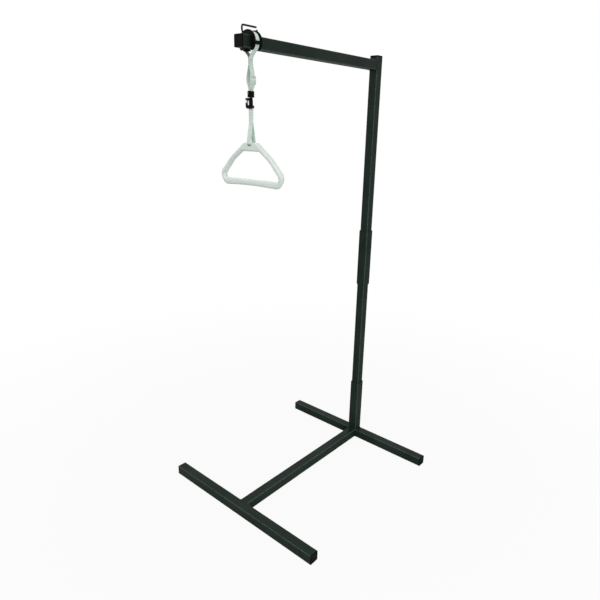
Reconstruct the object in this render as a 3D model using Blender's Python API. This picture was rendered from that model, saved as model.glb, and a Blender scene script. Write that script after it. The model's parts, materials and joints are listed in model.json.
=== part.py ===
# Freestanding trapeze: a floor base of square tube, a two-section mast, a horizontal arm,
# and a grip that hangs from the arm on webbing, a swivel head and a snap hook.
# Metres, +Z up. The origin is on the floor, in the middle of the outline.
# The arm points along -Y, and the grip's width lies along X.

import math

import bmesh
import bpy
from mathutils import Matrix, Vector
from mathutils.geometry import tessellate_polygon

MM = 0.001

# Fits between pieces
SEAT_GAP = 0.3 * MM           # between pieces that touch, such as welded or seated ones
SLEEVE_CLEARANCE = 0.5 * MM   # each side, round a mast tube in its sleeve
WEBBING_CLEARANCE = 0.3 * MM  # each side of the webbing where something guides it

# Floor base
BASE_DEPTH = 800 * MM         # mast axis to the axis of the front leg
LEG_WIDTH = 787 * MM          # each cross leg, over its end plugs
BASE_TUBE = 40 * MM
BASE_WALL = 2 * MM
TUBE_CORNER = 3 * MM
PLUG_FLANGE = 3 * MM
PLUG_STUB = 22 * MM
PLUG_WALL = 2 * MM
PLUG_DISH = 1 * MM
PLUG_DISH_BORDER = 3 * MM
PLUG_DISH_CORNER = 2 * MM
PLUG_EDGE = 0.8 * MM
SOCKET_HEIGHT = 304.8 * MM
FLOOR_PLATE = 6 * MM

# Mast
MAST_TUBE = 38 * MM
MAST_WALL = 2 * MM
SLEEVE_WALL = 2.5 * MM
MAST_HEIGHT = 1803 * MM       # floor to the top of the mast cap
MAST_JOINT = 944 * MM         # floor to the joint between the two mast sections
COUPLER_LENGTH = 254 * MM
COUPLER_BELOW_JOINT = 127 * MM
CAP_FLANGE = 5 * MM
CAP_EDGE = 1.2 * MM

# Arm and its fittings
ARM_LENGTH = 751 * MM         # mast face to the end of the tube
ARM_DROP = 32.4 * MM          # top of the mast tube to the arm's axis
ARM_CAP_STUB = 8 * MM         # short, as the retainer wire passes close behind it
HANG_FROM_END = 48.1 * MM     # end of the arm tube to the hanging line
WIRE_FROM_END = 14.9 * MM
WIRE_DIAMETER = 6 * MM
WIRE_TOP_RUN = 59 * MM
WIRE_LOWER_RUN = 22 * MM
WIRE_RISE = 28 * MM           # top of the arm to the axis of the wire's top run
WIRE_BEND = 7 * MM            # radius of the bends at the two runs
WIRE_STEP = 3.2 * MM          # sideways step of the upright, above the arm
WIRE_STEP_RISE = 5 * MM       # top of the arm to the start of the step
WIRE_STEP_LENGTH = 10 * MM
WIRE_STEP_BEND = 8 * MM
WIRE_FALL = 8 * MM            # underside of the arm to the axis of the wire's lower run
STOP_BEHIND_HANG = 28.8 * MM
STOP_RISE = 21 * MM           # top of the arm to the top of the stop pin

# Strap saddle
SADDLE_WALL = 3.2 * MM        # at the corners of the arm, under the webbing
FLANGE_THICKNESS = 3 * MM
FLANGE_SIDE_RIM = 8 * MM      # how far the flanges stand out past the webbing seat
FLANGE_TOP_RIM = 6 * MM
FLANGE_FOOT_ROUND = 2.5 * MM
LIP_REACH = 4 * MM
SADDLE_SIDE_GAP = 3.3 * MM    # each side of the webbing, between the flanges
KEEPER_TOP = 2 * MM
KEEPER_BOTTOM = -9 * MM
KEEPER_INNER = 3.6 * MM       # webbing seat to the inner face of a keeper bar
KEEPER_THICKNESS = 3 * MM

# Webbing
WEBBING_WIDTH = 19 * MM
WEBBING_THICKNESS = 1.6 * MM
UPPER_LEG_SLOPE = 47          # degrees from vertical, where the loop leaves the saddle
UPPER_STITCH = 13 * MM
UPPER_LOOP = 95 * MM          # end of the stitching to the head pin
UPPER_BULGE = 11 * MM         # how far each layer of the lower loop stands out
SLIDER_ABOVE_PIN = 38.5 * MM
LOWER_STRAP = 117 * MM        # strap pin to the underside of the grip's top bar
LOWER_SEWN = 52 * MM          # strap pin to the end of the stitching
LOOP_NECK = 2.6               # pin to where a loop's two sides meet, in loop radii
LOOP_CROWN = 1.7              # pin to the top of the space inside a loop, in loop radii
LOOP_LEAN = 20                # degrees past its side at which a loop leaves the pin
LOWER_CHAMFER = 1.2 * MM      # at the turns round the grip's top bar
LOWER_REST = 1.5 * MM         # top of the grip to where the strap's sides stand upright

# Strap slider
SLIDER_THICKNESS = 3 * MM
SLIDER_RAIL = 4 * MM
SLIDER_SLOT = 7.5 * MM
SLIDER_SIDE = 2.2 * MM
SLIDER_CORNER = 2 * MM

# Swivel head
PIN_DIAMETER = 2.5 * MM
HEAD_WALL = 1.7 * MM
HEAD_ABOVE_PIN = 6.4 * MM
HEAD_BELOW_PIN = 13.6 * MM
HEAD_FLOOR = 5.5 * MM
HEAD_FACE = 1.8 * MM
HEAD_CORNER = 2 * MM
HEAD_EDGE = 1.2 * MM
PIN_END_INSET = 0.2 * MM      # how far each pin's ends sit below the surface
STUD_DIAMETER = 4.4 * MM
STUD_HEAD_HEIGHT = 2.5 * MM
STUD_DEPTH = 7 * MM
SWIVEL_GAP = 0.6 * MM

# Hook body, measured from the hanging line and the underside of its foot
HOOK_HEIGHT = 34 * MM
HOOK_PLATE = 8 * MM
HOOK_EDGE = 1 * MM
HOOK_TOP_DROP = 1 * MM        # top of the boss to the top of the plate
HOOK_FOOT_HEIGHT = 11 * MM
HOOK_FOOT_WALL = 1.2 * MM     # each side of the webbing
HOOK_FOOT_HEEL = 3.5 * MM     # extra solid on the nose side of the foot
HOOK_FOOT_ROUND = 5 * MM
HOOK_BELLY_RISE = 0.4 * MM    # underside of the foot to the underside of the plate
HOOK_BELLY_ROUND = 9 * MM
HOOK_SPINE_INNER = -6.5 * MM
HOOK_SPINE_OUTER = 6 * MM
HOOK_SPINE_ROUND = 7 * MM
HOOK_NOSE_OUTER = -22.5 * MM
HOOK_NOSE_WIDTH = 4.5 * MM
HOOK_NOSE_TOP = 20.5 * MM
HOOK_NOSE_ROUND = 2 * MM
HOOK_SHOULDER = 25.5 * MM
HOOK_SHOULDER_ROUND = 5 * MM
HOOK_MOUTH_ROUND = 3 * MM
HOOK_BOSS_DIAMETER = 11 * MM
HOOK_BOSS_FLOOR = 1.5 * MM    # solid of the boss below the stud
STRAP_PIN_RISE = 5.2 * MM
LOOP_ROOM = 0.8 * MM          # above a loop in its pocket
KNUCKLE_DEPTH = 9.6 * MM
KNUCKLE_CHEEK = 2 * MM
KNUCKLE_WALL = 3 * MM
KNUCKLE_TOP_DROP = 0.5 * MM
KNUCKLE_TUCK = 1 * MM         # how far the knuckle stands in from the nose
KNUCKLE_ROUND = 1.5 * MM

# Hook gate
GATE_THICKNESS = 2.2 * MM
GATE_PIN_DIAMETER = 2.4 * MM
GATE_PIN_RISE = 28.7 * MM
GATE_HUB_DIAMETER = 5.4 * MM
GATE_OVERLAP = 4.5 * MM       # how far the gate reaches down behind the nose
GATE_HEEL = 4.6 * MM
GATE_HEEL_THICKNESS = 1.2 * MM
GATE_HEEL_OVERHANG = 0.3 * MM  # past the spring
GATE_HUB_WALL = 0.6 * MM      # round the gate pin, where the blade and heel start
GATE_SLOT_ROOM = 0.7 * MM     # beside the gate's hub
GATE_SLOT_DEPTH = 2 * MM      # how far the slot reaches below the shoulder
GATE_SLOT_WALL = 1 * MM       # slot past the spring
SPRING_COIL_DIAMETER = 3 * MM
SPRING_WIRE = 0.6 * MM
SPRING_TURNS = 3
SPRING_POINTS_PER_TURN = 10

# Grip
GRIP_WIDTH = 312 * MM         # between the corners that the outline's round ends cut off
GRIP_HEIGHT = 145.5 * MM
GRIP_DEPTH = 20 * MM
GRIP_TOP_WIDTH = 55 * MM
GRIP_TOP_ROUND = 9.5 * MM
GRIP_BAR = 23.5 * MM          # height of the hand bar
GRIP_SIDE = 16 * MM
GRIP_BOW = 8.5 * MM           # how far the sides bow out
GRIP_BOW_RADIUS = 160 * MM
GRIP_TOP_BAR = 4.5 * MM
GRIP_SLOT_HEIGHT = 6.5 * MM
GRIP_SLOT_SIDE_GAP = 1 * MM
GRIP_SLOT_EDGE = 1 * MM
GRIP_BRIDGE = 17.5 * MM       # solid below the slot
GRIP_SHOULDER_DROP = 106.5 * MM
GRIP_SHOULDER_ROUND = 28 * MM
GRIP_FOOT_WIDTH = 261 * MM
GRIP_FOOT_ROUND = 25.5 * MM
GRIP_ARCH = 4 * MM
GRIP_EDGE = 6 * MM
GRIP_TOP_EDGE = 1.8 * MM
GRIP_EDGE_FADE = 15 * MM      # how far below the slot's top the edges reach their full radius
GRIP_OPENING_FOOT_ROUND = 12 * MM
GRIP_OPENING_TOP_ROUND = 6 * MM
FINGER_BUMPS = 8
FINGER_PITCH = 24 * MM
FINGER_RISE = 1.2 * MM
POINTS_PER_BUMP = 6

# Places that follow from the sizes above
SLEEVE_INNER = MAST_TUBE + 2 * SLEEVE_CLEARANCE
SLEEVE_OUTER = SLEEVE_INNER + 2 * SLEEVE_WALL
MAST_Y = (BASE_DEPTH + BASE_TUBE / 2 - SLEEVE_OUTER / 2) / 2
FRONT_LEG_Y = MAST_Y - BASE_DEPTH
MAST_TUBE_TOP = MAST_HEIGHT - CAP_FLANGE
ARM_Z = MAST_TUBE_TOP - ARM_DROP
ARM_BACK_Y = MAST_Y - MAST_TUBE / 2 - SEAT_GAP
ARM_END_Y = ARM_BACK_Y - ARM_LENGTH
HANG_Y = ARM_END_Y + HANG_FROM_END
WIRE_Y = ARM_END_Y + WIRE_FROM_END
STOP_Y = HANG_Y + STOP_BEHIND_HANG
CHANNEL = MAST_TUBE + 2 * SEAT_GAP
SADDLE_SKIRT = CHANNEL / 2 + LIP_REACH
SEAT_RADIUS = CHANNEL / 2 * math.sqrt(2) + SADDLE_WALL
FLANGE_INNER = WEBBING_WIDTH / 2 + SADDLE_SIDE_GAP
FLANGE_OUTER = FLANGE_INNER + FLANGE_THICKNESS
LOOP_RADIUS = SEAT_RADIUS + WEBBING_CLEARANCE + WEBBING_THICKNESS / 2
LEG_ANGLE = math.radians(UPPER_LEG_SLOPE)
LEG_START = Vector((LOOP_RADIUS * math.cos(LEG_ANGLE), -LOOP_RADIUS * math.sin(LEG_ANGLE)))
LEG_DROP = (LEG_START.x - WEBBING_THICKNESS / 2) / math.tan(LEG_ANGLE)
STITCH_TOP_Z = ARM_Z + LEG_START.y - LEG_DROP
STITCH_END_Z = STITCH_TOP_Z - UPPER_STITCH
HEAD_PIN_Z = STITCH_END_Z - UPPER_LOOP
PIN_LOOP_RADIUS = PIN_DIAMETER / 2 + SEAT_GAP + WEBBING_THICKNESS / 2
NECK_REACH = LOOP_NECK * PIN_LOOP_RADIUS + WEBBING_THICKNESS
PIN_POCKET = 2 * PIN_LOOP_RADIUS + WEBBING_THICKNESS + 2 * WEBBING_CLEARANCE
WEBBING_POCKET = WEBBING_WIDTH + 2 * WEBBING_CLEARANCE
STUD_HEAD_DIAMETER = PIN_POCKET - 2 * SEAT_GAP
SLIDER_X = UPPER_BULGE
SLIDER_Z = HEAD_PIN_Z + SLIDER_ABOVE_PIN
SLIDER_HALF_HEIGHT = (3 * SLIDER_RAIL + 2 * SLIDER_SLOT) / 2
SLOT_CENTRE = (SLIDER_RAIL + SLIDER_SLOT) / 2
WEAVE_OFFSET = SLIDER_THICKNESS / 2 + SEAT_GAP + WEBBING_THICKNESS / 2
HEAD_TOP_Z = HEAD_PIN_Z + HEAD_ABOVE_PIN
HEAD_BOTTOM_Z = HEAD_PIN_Z - HEAD_BELOW_PIN
HEAD_FLOOR_Z = HEAD_BOTTOM_Z + HEAD_FLOOR
HOOK_TOP_Z = HEAD_BOTTOM_Z - SWIVEL_GAP
HOOK_Z = HOOK_TOP_Z - HOOK_HEIGHT
STRAP_PIN_Z = HOOK_Z + STRAP_PIN_RISE
GATE_PIN_X = HOOK_NOSE_OUTER + HOOK_NOSE_WIDTH + SEAT_GAP + GATE_HUB_DIAMETER / 2
GATE_PIN_Z = HOOK_Z + GATE_PIN_RISE
SPRING_X = GATE_PIN_X + GATE_HEEL
GATE_SLOT_TOP = GATE_PIN_RISE + GATE_HUB_DIAMETER / 2 + SEAT_GAP
GATE_SLOT_END = SPRING_X + SPRING_COIL_DIAMETER / 2 + GATE_SLOT_WALL
GRIP_TOP_Z = STRAP_PIN_Z - LOWER_STRAP + GRIP_TOP_BAR

# Colours as linear values, with roughness and metallic
FRAME_PAINT = ((0.028, 0.036, 0.032), 0.35, 0.4)
BLACK_PLASTIC = ((0.012, 0.012, 0.012), 0.5, 0.0)
BLACK_STEEL = ((0.02, 0.02, 0.02), 0.4, 0.7)
BRIGHT_STEEL = ((0.6, 0.6, 0.6), 0.3, 1.0)
WHITE_PLASTIC = ((0.62, 0.7, 0.67), 0.4, 0.0)
WHITE_WEBBING = ((0.55, 0.65, 0.6), 0.9, 0.0)


# Shared helpers

def clear_scene():
    for obj in list(bpy.data.objects):
        bpy.data.objects.remove(obj, do_unlink=True)


def plain_material(name, look):
    colour, roughness, metallic = look
    material = bpy.data.materials.new(name)
    material.use_nodes = True
    shader = material.node_tree.nodes["Principled BSDF"]
    shader.inputs["Base Color"].default_value = (*colour, 1.0)
    shader.inputs["Roughness"].default_value = roughness
    shader.inputs["Metallic"].default_value = metallic
    return material


def finish(name, data, look):
    """Makes the object and gives it its own material."""
    data.materials.append(plain_material(name, look))
    obj = bpy.data.objects.new(name, data)
    bpy.context.scene.collection.objects.link(obj)
    return obj


def mesh_from(bm, name):
    bmesh.ops.recalc_face_normals(bm, faces=bm.faces)
    mesh = bpy.data.meshes.new(name)
    bm.to_mesh(mesh)
    bm.free()
    return mesh


def rounded_outline(corners, arc_steps=4):
    """A closed outline through corners given as (u, v, radius)."""
    points = []
    count = len(corners)
    for index, (u, v, radius) in enumerate(corners):
        here = Vector((u, v))
        if radius <= 0:
            points.append(here)
            continue
        before = Vector(corners[index - 1][:2]) - here
        after = Vector(corners[(index + 1) % count][:2]) - here
        room = 0.48 * min(before.length, after.length)
        before.normalize()
        after.normalize()
        half = before.angle(after) / 2
        radius = min(radius, room * math.tan(half))
        centre = here + (before + after).normalized() * radius / math.sin(half)
        start = here + before * radius / math.tan(half) - centre
        end = here + after * radius / math.tan(half) - centre
        turn = start.angle_signed(end)
        for step in range(arc_steps + 1):
            angle = -turn * step / arc_steps
            points.append(centre + Matrix.Rotation(angle, 2) @ start)
    return points


def square_outline(side, radius, arc_steps=4):
    half = side / 2
    corners = [(half, -half, radius), (half, half, radius), (-half, half, radius), (-half, -half, radius)]
    return rounded_outline(corners, arc_steps)


def box_outline(u_low, v_low, u_high, v_high, radius=0.0, arc_steps=3):
    corners = [(u_high, v_low, radius), (u_high, v_high, radius)]
    corners += [(u_low, v_high, radius), (u_low, v_low, radius)]
    return rounded_outline(corners, arc_steps)


def circle_outline(u, v, radius, count):
    angles = [2 * math.pi * step / count for step in range(count)]
    return [Vector((u + radius * math.cos(a), v + radius * math.sin(a))) for a in angles]


def place(axis, u, v, along):
    """Turns outline coordinates into a point: u and v are the two axes left, in XYZ order."""
    if axis == "X":
        return (along, u, v)
    if axis == "Y":
        return (u, along, v)
    return (u, v, along)


def signed_area(outline):
    pairs = zip(outline, outline[1:] + outline[:1])
    return sum(a.x * b.y - b.x * a.y for a, b in pairs) / 2


def inset_outline(outline, distances, into_hole):
    """Moves each point of an outline into the material by its own distance."""
    side = 1 if signed_area(outline) > 0 else -1
    if into_hole:
        side = -side
    moved = []
    count = len(outline)
    for index, point in enumerate(outline):
        back = (point - outline[index - 1]).normalized()
        ahead = (outline[(index + 1) % count] - point).normalized()
        normal = (Vector((-back.y, back.x)) + Vector((-ahead.y, ahead.x))).normalized()
        spread = max(normal.dot(Vector((-back.y, back.x))), 0.5)
        moved.append(point + normal * side * distances[index] / spread)
    return moved


def plate_mesh(name, axis, low, high, outlines, edges=None, steps=3):
    """A plate between two planes, with holes and, where edges gives radii, rounded rims.

    outlines is the outer outline followed by the holes; edges holds one radius for each
    outline, or one list of radii with a value for each of its points."""
    edges = edges or [0.0] * len(outlines)
    radii = [list(edge) if isinstance(edge, (list, tuple)) else [edge] * len(outline)
             for edge, outline in zip(edges, outlines)]
    layered = any(radius > 0 for edge in radii for radius in edge)
    quarters = [0.0] if not layered else [math.pi / 2 * step / steps for step in range(steps + 1)]
    bm = bmesh.new()
    rims = {}
    for end in (0, 1):
        for number, quarter in enumerate(quarters):
            for hole, (outline, edge) in enumerate(zip(outlines, radii)):
                insets = [radius * (1 - math.cos(quarter)) for radius in edge]
                points = inset_outline(outline, insets, hole > 0) if layered else outline
                ring = []
                for point, radius in zip(points, edge):
                    depth = radius * (1 - math.sin(quarter))
                    along = low + depth if end == 0 else high - depth
                    ring.append(bm.verts.new(place(axis, point.x, point.y, along)))
                rims[(end, number, hole)] = ring
    last = len(quarters) - 1
    for hole, outline in enumerate(outlines):
        order = [(0, number) for number in range(last, -1, -1)]
        order += [(1, number) for number in range(last + 1)]
        count = len(outline)
        for (end_a, ring_a), (end_b, ring_b) in zip(order, order[1:]):
            first = rims[(end_a, ring_a, hole)]
            second = rims[(end_b, ring_b, hole)]
            for index in range(count):
                following = (index + 1) % count
                bm.faces.new((first[index], first[following], second[following], second[index]))
    for end in (0, 1):
        rings = [rims[(end, last, hole)] for hole in range(len(outlines))]
        flat = [vert for ring in rings for vert in ring]
        if len(rings) == 1:
            bm.faces.new(flat)
            continue
        keep = [index for index in range(3) if "XYZ"[index] != axis]
        polygons = [[Vector((vert.co[keep[0]], vert.co[keep[1]], 0)) for vert in ring] for ring in rings]
        for triangle in tessellate_polygon(polygons):
            bm.faces.new([flat[index] for index in triangle])
    return mesh_from(bm, name)


def plate(name, look, axis, low, high, outlines, edges=None, steps=3):
    mesh = plate_mesh(name, axis, low, high, outlines, edges, steps)
    mesh.shade_smooth()
    mesh.set_sharp_from_angle(angle=math.radians(35))
    return finish(name, mesh, look)


def helper(name, mesh):
    """A hidden shape that a Boolean modifier adds or takes away."""
    obj = bpy.data.objects.new(name, mesh)
    bpy.context.scene.collection.objects.link(obj)
    obj.hide_render = True
    obj.display_type = "WIRE"
    return obj


def combine(target, tool, operation):
    modifier = target.modifiers.new(tool.name, "BOOLEAN")
    modifier.object = tool
    modifier.operation = operation
    modifier.solver = "EXACT"


def cut(target, name, axis, low, high, outline):
    combine(target, helper(name, plate_mesh(name, axis, low, high, [outline])), "DIFFERENCE")


def add(target, name, axis, low, high, outlines, edges=None):
    combine(target, helper(name, plate_mesh(name, axis, low, high, outlines, edges)), "UNION")


def rod(name, look, axis, low, high, u, v, radius, count=24):
    return plate(name, look, axis, low, high, [circle_outline(u, v, radius, count)])


def tube_along(name, look, points, radius, resolution):
    """A round wire through points, with closed ends."""
    curve = bpy.data.curves.new(name, "CURVE")
    curve.dimensions = "3D"
    curve.bevel_depth = radius
    curve.bevel_resolution = resolution
    curve.use_fill_caps = True
    spline = curve.splines.new("POLY")
    spline.points.add(len(points) - 1)
    for item, point in zip(spline.points, points):
        item.co = (*point, 1.0)
    return finish(name, curve, look)


def attach(obj, joint):
    """Hangs an object built in place on its joint's empty, with its origin on the joint."""
    obj.data.transform(Matrix.Translation(-joint["place"]))
    obj.parent = joint["empty"]
    obj.location = (0, 0, 0)


def make_joint(name, location, parent=None):
    empty = bpy.data.objects.new(name, None)
    bpy.context.scene.collection.objects.link(empty)
    empty.empty_display_size = 0.03
    here = Vector(location)
    if parent is not None:
        empty.parent = parent["empty"]
        empty.location = here - parent["place"]
    else:
        empty.location = here
    return {"empty": empty, "place": here}


def shifted(outline, du, dv):
    return [Vector((point.x + du, point.y + dv)) for point in outline]


# Floor base

def hollow_tube(name, axis, low, high, u, v, side, wall):
    outer = shifted(square_outline(side, TUBE_CORNER), u, v)
    inner = shifted(square_outline(side - 2 * wall, TUBE_CORNER - wall), u, v)
    return plate(name, FRAME_PAINT, axis, low, high, [outer, inner])


def leg_plug(name, y, side):
    """A plug with a hollow stub inside the tube and a slightly dished flange over its end."""
    bore = BASE_TUBE - 2 * BASE_WALL
    centre = (y, BASE_TUBE / 2)
    end = side * LEG_WIDTH / 2
    flange_inner = side * (LEG_WIDTH / 2 - PLUG_FLANGE)
    stub_end = flange_inner - side * PLUG_STUB
    faces = sorted((end, flange_inner))
    outline = shifted(square_outline(BASE_TUBE, TUBE_CORNER), *centre)
    plug = plate(name, BLACK_PLASTIC, "X", faces[0], faces[1], [outline], [PLUG_EDGE], 2)
    stub_side = bore - 2 * SEAT_GAP
    stub_outline = shifted(square_outline(stub_side, TUBE_CORNER - BASE_WALL), *centre)
    stub_bore = shifted(square_outline(stub_side - 2 * PLUG_WALL, 0.0), *centre)
    buried = flange_inner + side * PLUG_FLANGE / 3
    spans = sorted((stub_end, buried))
    add(plug, name + "_stub", "X", spans[0], spans[1], [stub_outline])
    hollow = sorted((stub_end - side * SEAT_GAP, flange_inner))
    cut(plug, name + "_bore", "X", hollow[0], hollow[1], stub_bore)
    dish_side = BASE_TUBE - 2 * PLUG_DISH_BORDER
    dish = shifted(square_outline(dish_side, PLUG_DISH_CORNER), *centre)
    spans = sorted((end - side * PLUG_DISH, end + side * PLUG_DISH))
    cut(plug, name + "_dish", "X", spans[0], spans[1], dish)
    return plug


def floor_base():
    tube_end = LEG_WIDTH / 2 - PLUG_FLANGE - SEAT_GAP
    leg_z = BASE_TUBE / 2
    socket_face = SLEEVE_OUTER / 2 + SEAT_GAP
    hollow_tube("front_leg", "X", -tube_end, tube_end, FRONT_LEG_Y, leg_z, BASE_TUBE, BASE_WALL)
    hollow_tube("rear_leg_right", "X", socket_face, tube_end, MAST_Y, leg_z, BASE_TUBE, BASE_WALL)
    hollow_tube("rear_leg_left", "X", -tube_end, -socket_face, MAST_Y, leg_z, BASE_TUBE, BASE_WALL)
    spine_front = FRONT_LEG_Y + BASE_TUBE / 2 + SEAT_GAP
    spine_back = MAST_Y - socket_face
    hollow_tube("spine_tube", "Y", spine_front, spine_back, 0.0, leg_z, BASE_TUBE, BASE_WALL)
    hollow_tube("mast_socket", "Z", 0.0, SOCKET_HEIGHT, 0.0, MAST_Y, SLEEVE_OUTER, SLEEVE_WALL)
    plate_side = SLEEVE_INNER - 2 * SEAT_GAP
    outline = shifted(square_outline(plate_side, TUBE_CORNER / 2), 0.0, MAST_Y)
    plate("socket_floor_plate", FRAME_PAINT, "Z", 0.0, FLOOR_PLATE, [outline])
    for row, y in (("front", FRONT_LEG_Y), ("rear", MAST_Y)):
        leg_plug(row + "_plug_left", y, -1)
        leg_plug(row + "_plug_right", y, 1)


# Mast

def tube_cap(name, axis, seat, outward, centre, stub_length):
    """A square cap flush with the mast's kind of tube, and its hollow stub inside the tube."""
    outline = shifted(square_outline(MAST_TUBE, TUBE_CORNER), *centre)
    faces = sorted((seat, seat + outward * CAP_FLANGE))
    cap = plate(name, BLACK_PLASTIC, axis, faces[0], faces[1], [outline], [CAP_EDGE], 2)
    stub_side = MAST_TUBE - 2 * MAST_WALL - 2 * SEAT_GAP
    stub = shifted(square_outline(stub_side, TUBE_CORNER - MAST_WALL), *centre)
    bore = shifted(square_outline(stub_side - 2 * PLUG_WALL, 0.0), *centre)
    stub_end = seat - outward * stub_length
    spans = sorted((stub_end, seat + outward * CAP_FLANGE / 2))
    add(cap, name + "_stub", axis, spans[0], spans[1], [stub])
    hollow = sorted((stub_end - outward * SEAT_GAP, seat))
    cut(cap, name + "_bore", axis, hollow[0], hollow[1], bore)
    return cap


def mast_sections(lower_joint, upper_joint):
    foot = FLOOR_PLATE + SEAT_GAP
    lower = hollow_tube("lower_mast", "Z", foot, MAST_JOINT, 0.0, MAST_Y, MAST_TUBE, MAST_WALL)
    sleeve_low = MAST_JOINT - COUPLER_BELOW_JOINT
    sleeve_high = sleeve_low + COUPLER_LENGTH
    around = (0.0, MAST_Y, SLEEVE_OUTER, SLEEVE_WALL)
    sleeve = hollow_tube("coupler_sleeve", "Z", sleeve_low, sleeve_high, *around)
    upper_low = MAST_JOINT + SEAT_GAP
    upper_high = MAST_TUBE_TOP - SEAT_GAP
    upper = hollow_tube("upper_mast", "Z", upper_low, upper_high, 0.0, MAST_Y, MAST_TUBE, MAST_WALL)
    cap = tube_cap("mast_cap", "Z", MAST_TUBE_TOP, 1, (0.0, MAST_Y), PLUG_STUB)
    for piece in (lower, sleeve):
        attach(piece, lower_joint)
    for piece in (upper, cap):
        attach(piece, upper_joint)


# Arm and what is fixed to it

def arm_and_fittings(joint):
    arm = hollow_tube("arm", "Y", ARM_END_Y, ARM_BACK_Y, 0.0, ARM_Z, MAST_TUBE, MAST_WALL)
    hole_radius = WIRE_DIAMETER / 2 + SEAT_GAP
    reach = MAST_TUBE
    wire_hole = circle_outline(0.0, WIRE_Y, hole_radius, 24)
    stop_hole = circle_outline(0.0, STOP_Y, hole_radius, 24)
    cut(arm, "wire_hole", "Z", ARM_Z - reach, ARM_Z + reach, wire_hole)
    cut(arm, "stop_hole", "Z", ARM_Z, ARM_Z + reach, stop_hole)
    cap_seat = ARM_END_Y - SEAT_GAP
    cap = tube_cap("arm_end_cap", "Y", cap_seat, -1, (0.0, ARM_Z), ARM_CAP_STUB)
    stop_low = ARM_Z - MAST_TUBE / 2 + MAST_WALL + SEAT_GAP
    stop_high = ARM_Z + MAST_TUBE / 2 + STOP_RISE
    stop = rod("rear_stop_pin", BLACK_STEEL, "Z", stop_low, stop_high, 0.0, STOP_Y, WIRE_DIAMETER / 2)
    for piece in (arm, cap, stop):
        attach(piece, joint)


def bent_path(corners, arc_steps=4):
    """An open path in the YZ plane through corners given as (y, z, radius)."""
    points = []
    for index, (y, z, radius) in enumerate(corners):
        here = Vector((y, z))
        if radius <= 0:
            points.append(here)
            continue
        before = (Vector(corners[index - 1][:2]) - here).normalized()
        after = (Vector(corners[index + 1][:2]) - here).normalized()
        half = before.angle(after) / 2
        centre = here + (before + after).normalized() * radius / math.sin(half)
        start = here + before * radius / math.tan(half) - centre
        end = here + after * radius / math.tan(half) - centre
        turn = start.angle_signed(end)
        for step in range(arc_steps + 1):
            points.append(centre + Matrix.Rotation(-turn * step / arc_steps, 2) @ start)
    return [(0.0, point.x, point.y) for point in points]


def retainer_wire(joint):
    """The wire's upright goes through the arm, with a small step above it and a run each end."""
    top_z = ARM_Z + MAST_TUBE / 2 + WIRE_RISE
    low_z = ARM_Z - MAST_TUBE / 2 - WIRE_FALL
    step_low = ARM_Z + MAST_TUBE / 2 + WIRE_STEP_RISE
    step_high = step_low + WIRE_STEP_LENGTH
    step_y = WIRE_Y - WIRE_STEP
    corners = [(WIRE_Y + WIRE_LOWER_RUN, low_z, 0.0), (WIRE_Y, low_z, WIRE_BEND)]
    corners += [(WIRE_Y, step_low, WIRE_STEP_BEND), (step_y, step_high, WIRE_STEP_BEND)]
    corners += [(step_y, top_z, WIRE_BEND), (WIRE_Y + WIRE_TOP_RUN, top_z, 0.0)]
    wire = tube_along("retainer_wire", BLACK_STEEL, bent_path(corners), WIRE_DIAMETER / 2, 3)
    attach(wire, joint)


# Strap saddle

def arch_points(half_width, height, skirt, steps):
    """An ellipse about the arm, from its right foot over the top to its left foot."""
    dip = math.asin(skirt / height)
    span = math.pi + 2 * dip
    angles = [-dip + span * step / steps for step in range(steps + 1)]
    return [Vector((half_width * math.cos(a), height * math.sin(a))) for a in angles]


def channel_sides():
    """The channel for the arm, from the left lip's underside up and round to the right one's."""
    lip = CHANNEL / 2 - LIP_REACH
    left = [(-lip, -SADDLE_SKIRT), (-lip, -CHANNEL / 2), (-CHANNEL / 2, -CHANNEL / 2)]
    left += [(-CHANNEL / 2, CHANNEL / 2)]
    return [Vector(point) for point in left + [(-u, v) for u, v in reversed(left)]]


def flange_outline():
    arch = arch_points(SEAT_RADIUS + FLANGE_SIDE_RIM, SEAT_RADIUS + FLANGE_TOP_RIM, SADDLE_SKIRT, 36)
    corners = [(point.x, point.y, 0.0) for point in arch + channel_sides()]
    for foot in (0, len(arch) - 1):
        corners[foot] = corners[foot][:2] + (FLANGE_FOOT_ROUND,)
    return rounded_outline(corners)


def core_outline():
    """The round webbing seat, cut off at the underside of the arm's clip lips."""
    return arch_points(SEAT_RADIUS, SEAT_RADIUS, SADDLE_SKIRT, 24) + channel_sides()


def keeper_outline(side):
    inner = SEAT_RADIUS + KEEPER_INNER
    outer = inner + KEEPER_THICKNESS
    low, high = sorted((side * inner, side * outer))
    return box_outline(low, KEEPER_BOTTOM, high, KEEPER_TOP)


def strap_saddle(joint):
    near = HANG_Y - FLANGE_OUTER
    far = HANG_Y + FLANGE_OUTER
    flange = shifted(flange_outline(), 0.0, ARM_Z)
    core = shifted(core_outline(), 0.0, ARM_Z)
    buried = FLANGE_THICKNESS / 2
    saddle = plate("strap_saddle", BLACK_PLASTIC, "Y", near, near + FLANGE_THICKNESS, [flange])
    add(saddle, "saddle_core", "Y", near + buried, far - buried, [core])
    add(saddle, "saddle_far_flange", "Y", far - FLANGE_THICKNESS, far, [flange])
    for side, word in ((-1, "left"), (1, "right")):
        bar = shifted(keeper_outline(side), 0.0, ARM_Z)
        add(saddle, "saddle_keeper_" + word, "Y", near + buried, far - buried, [bar])
    attach(saddle, joint)


# Webbing

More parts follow.
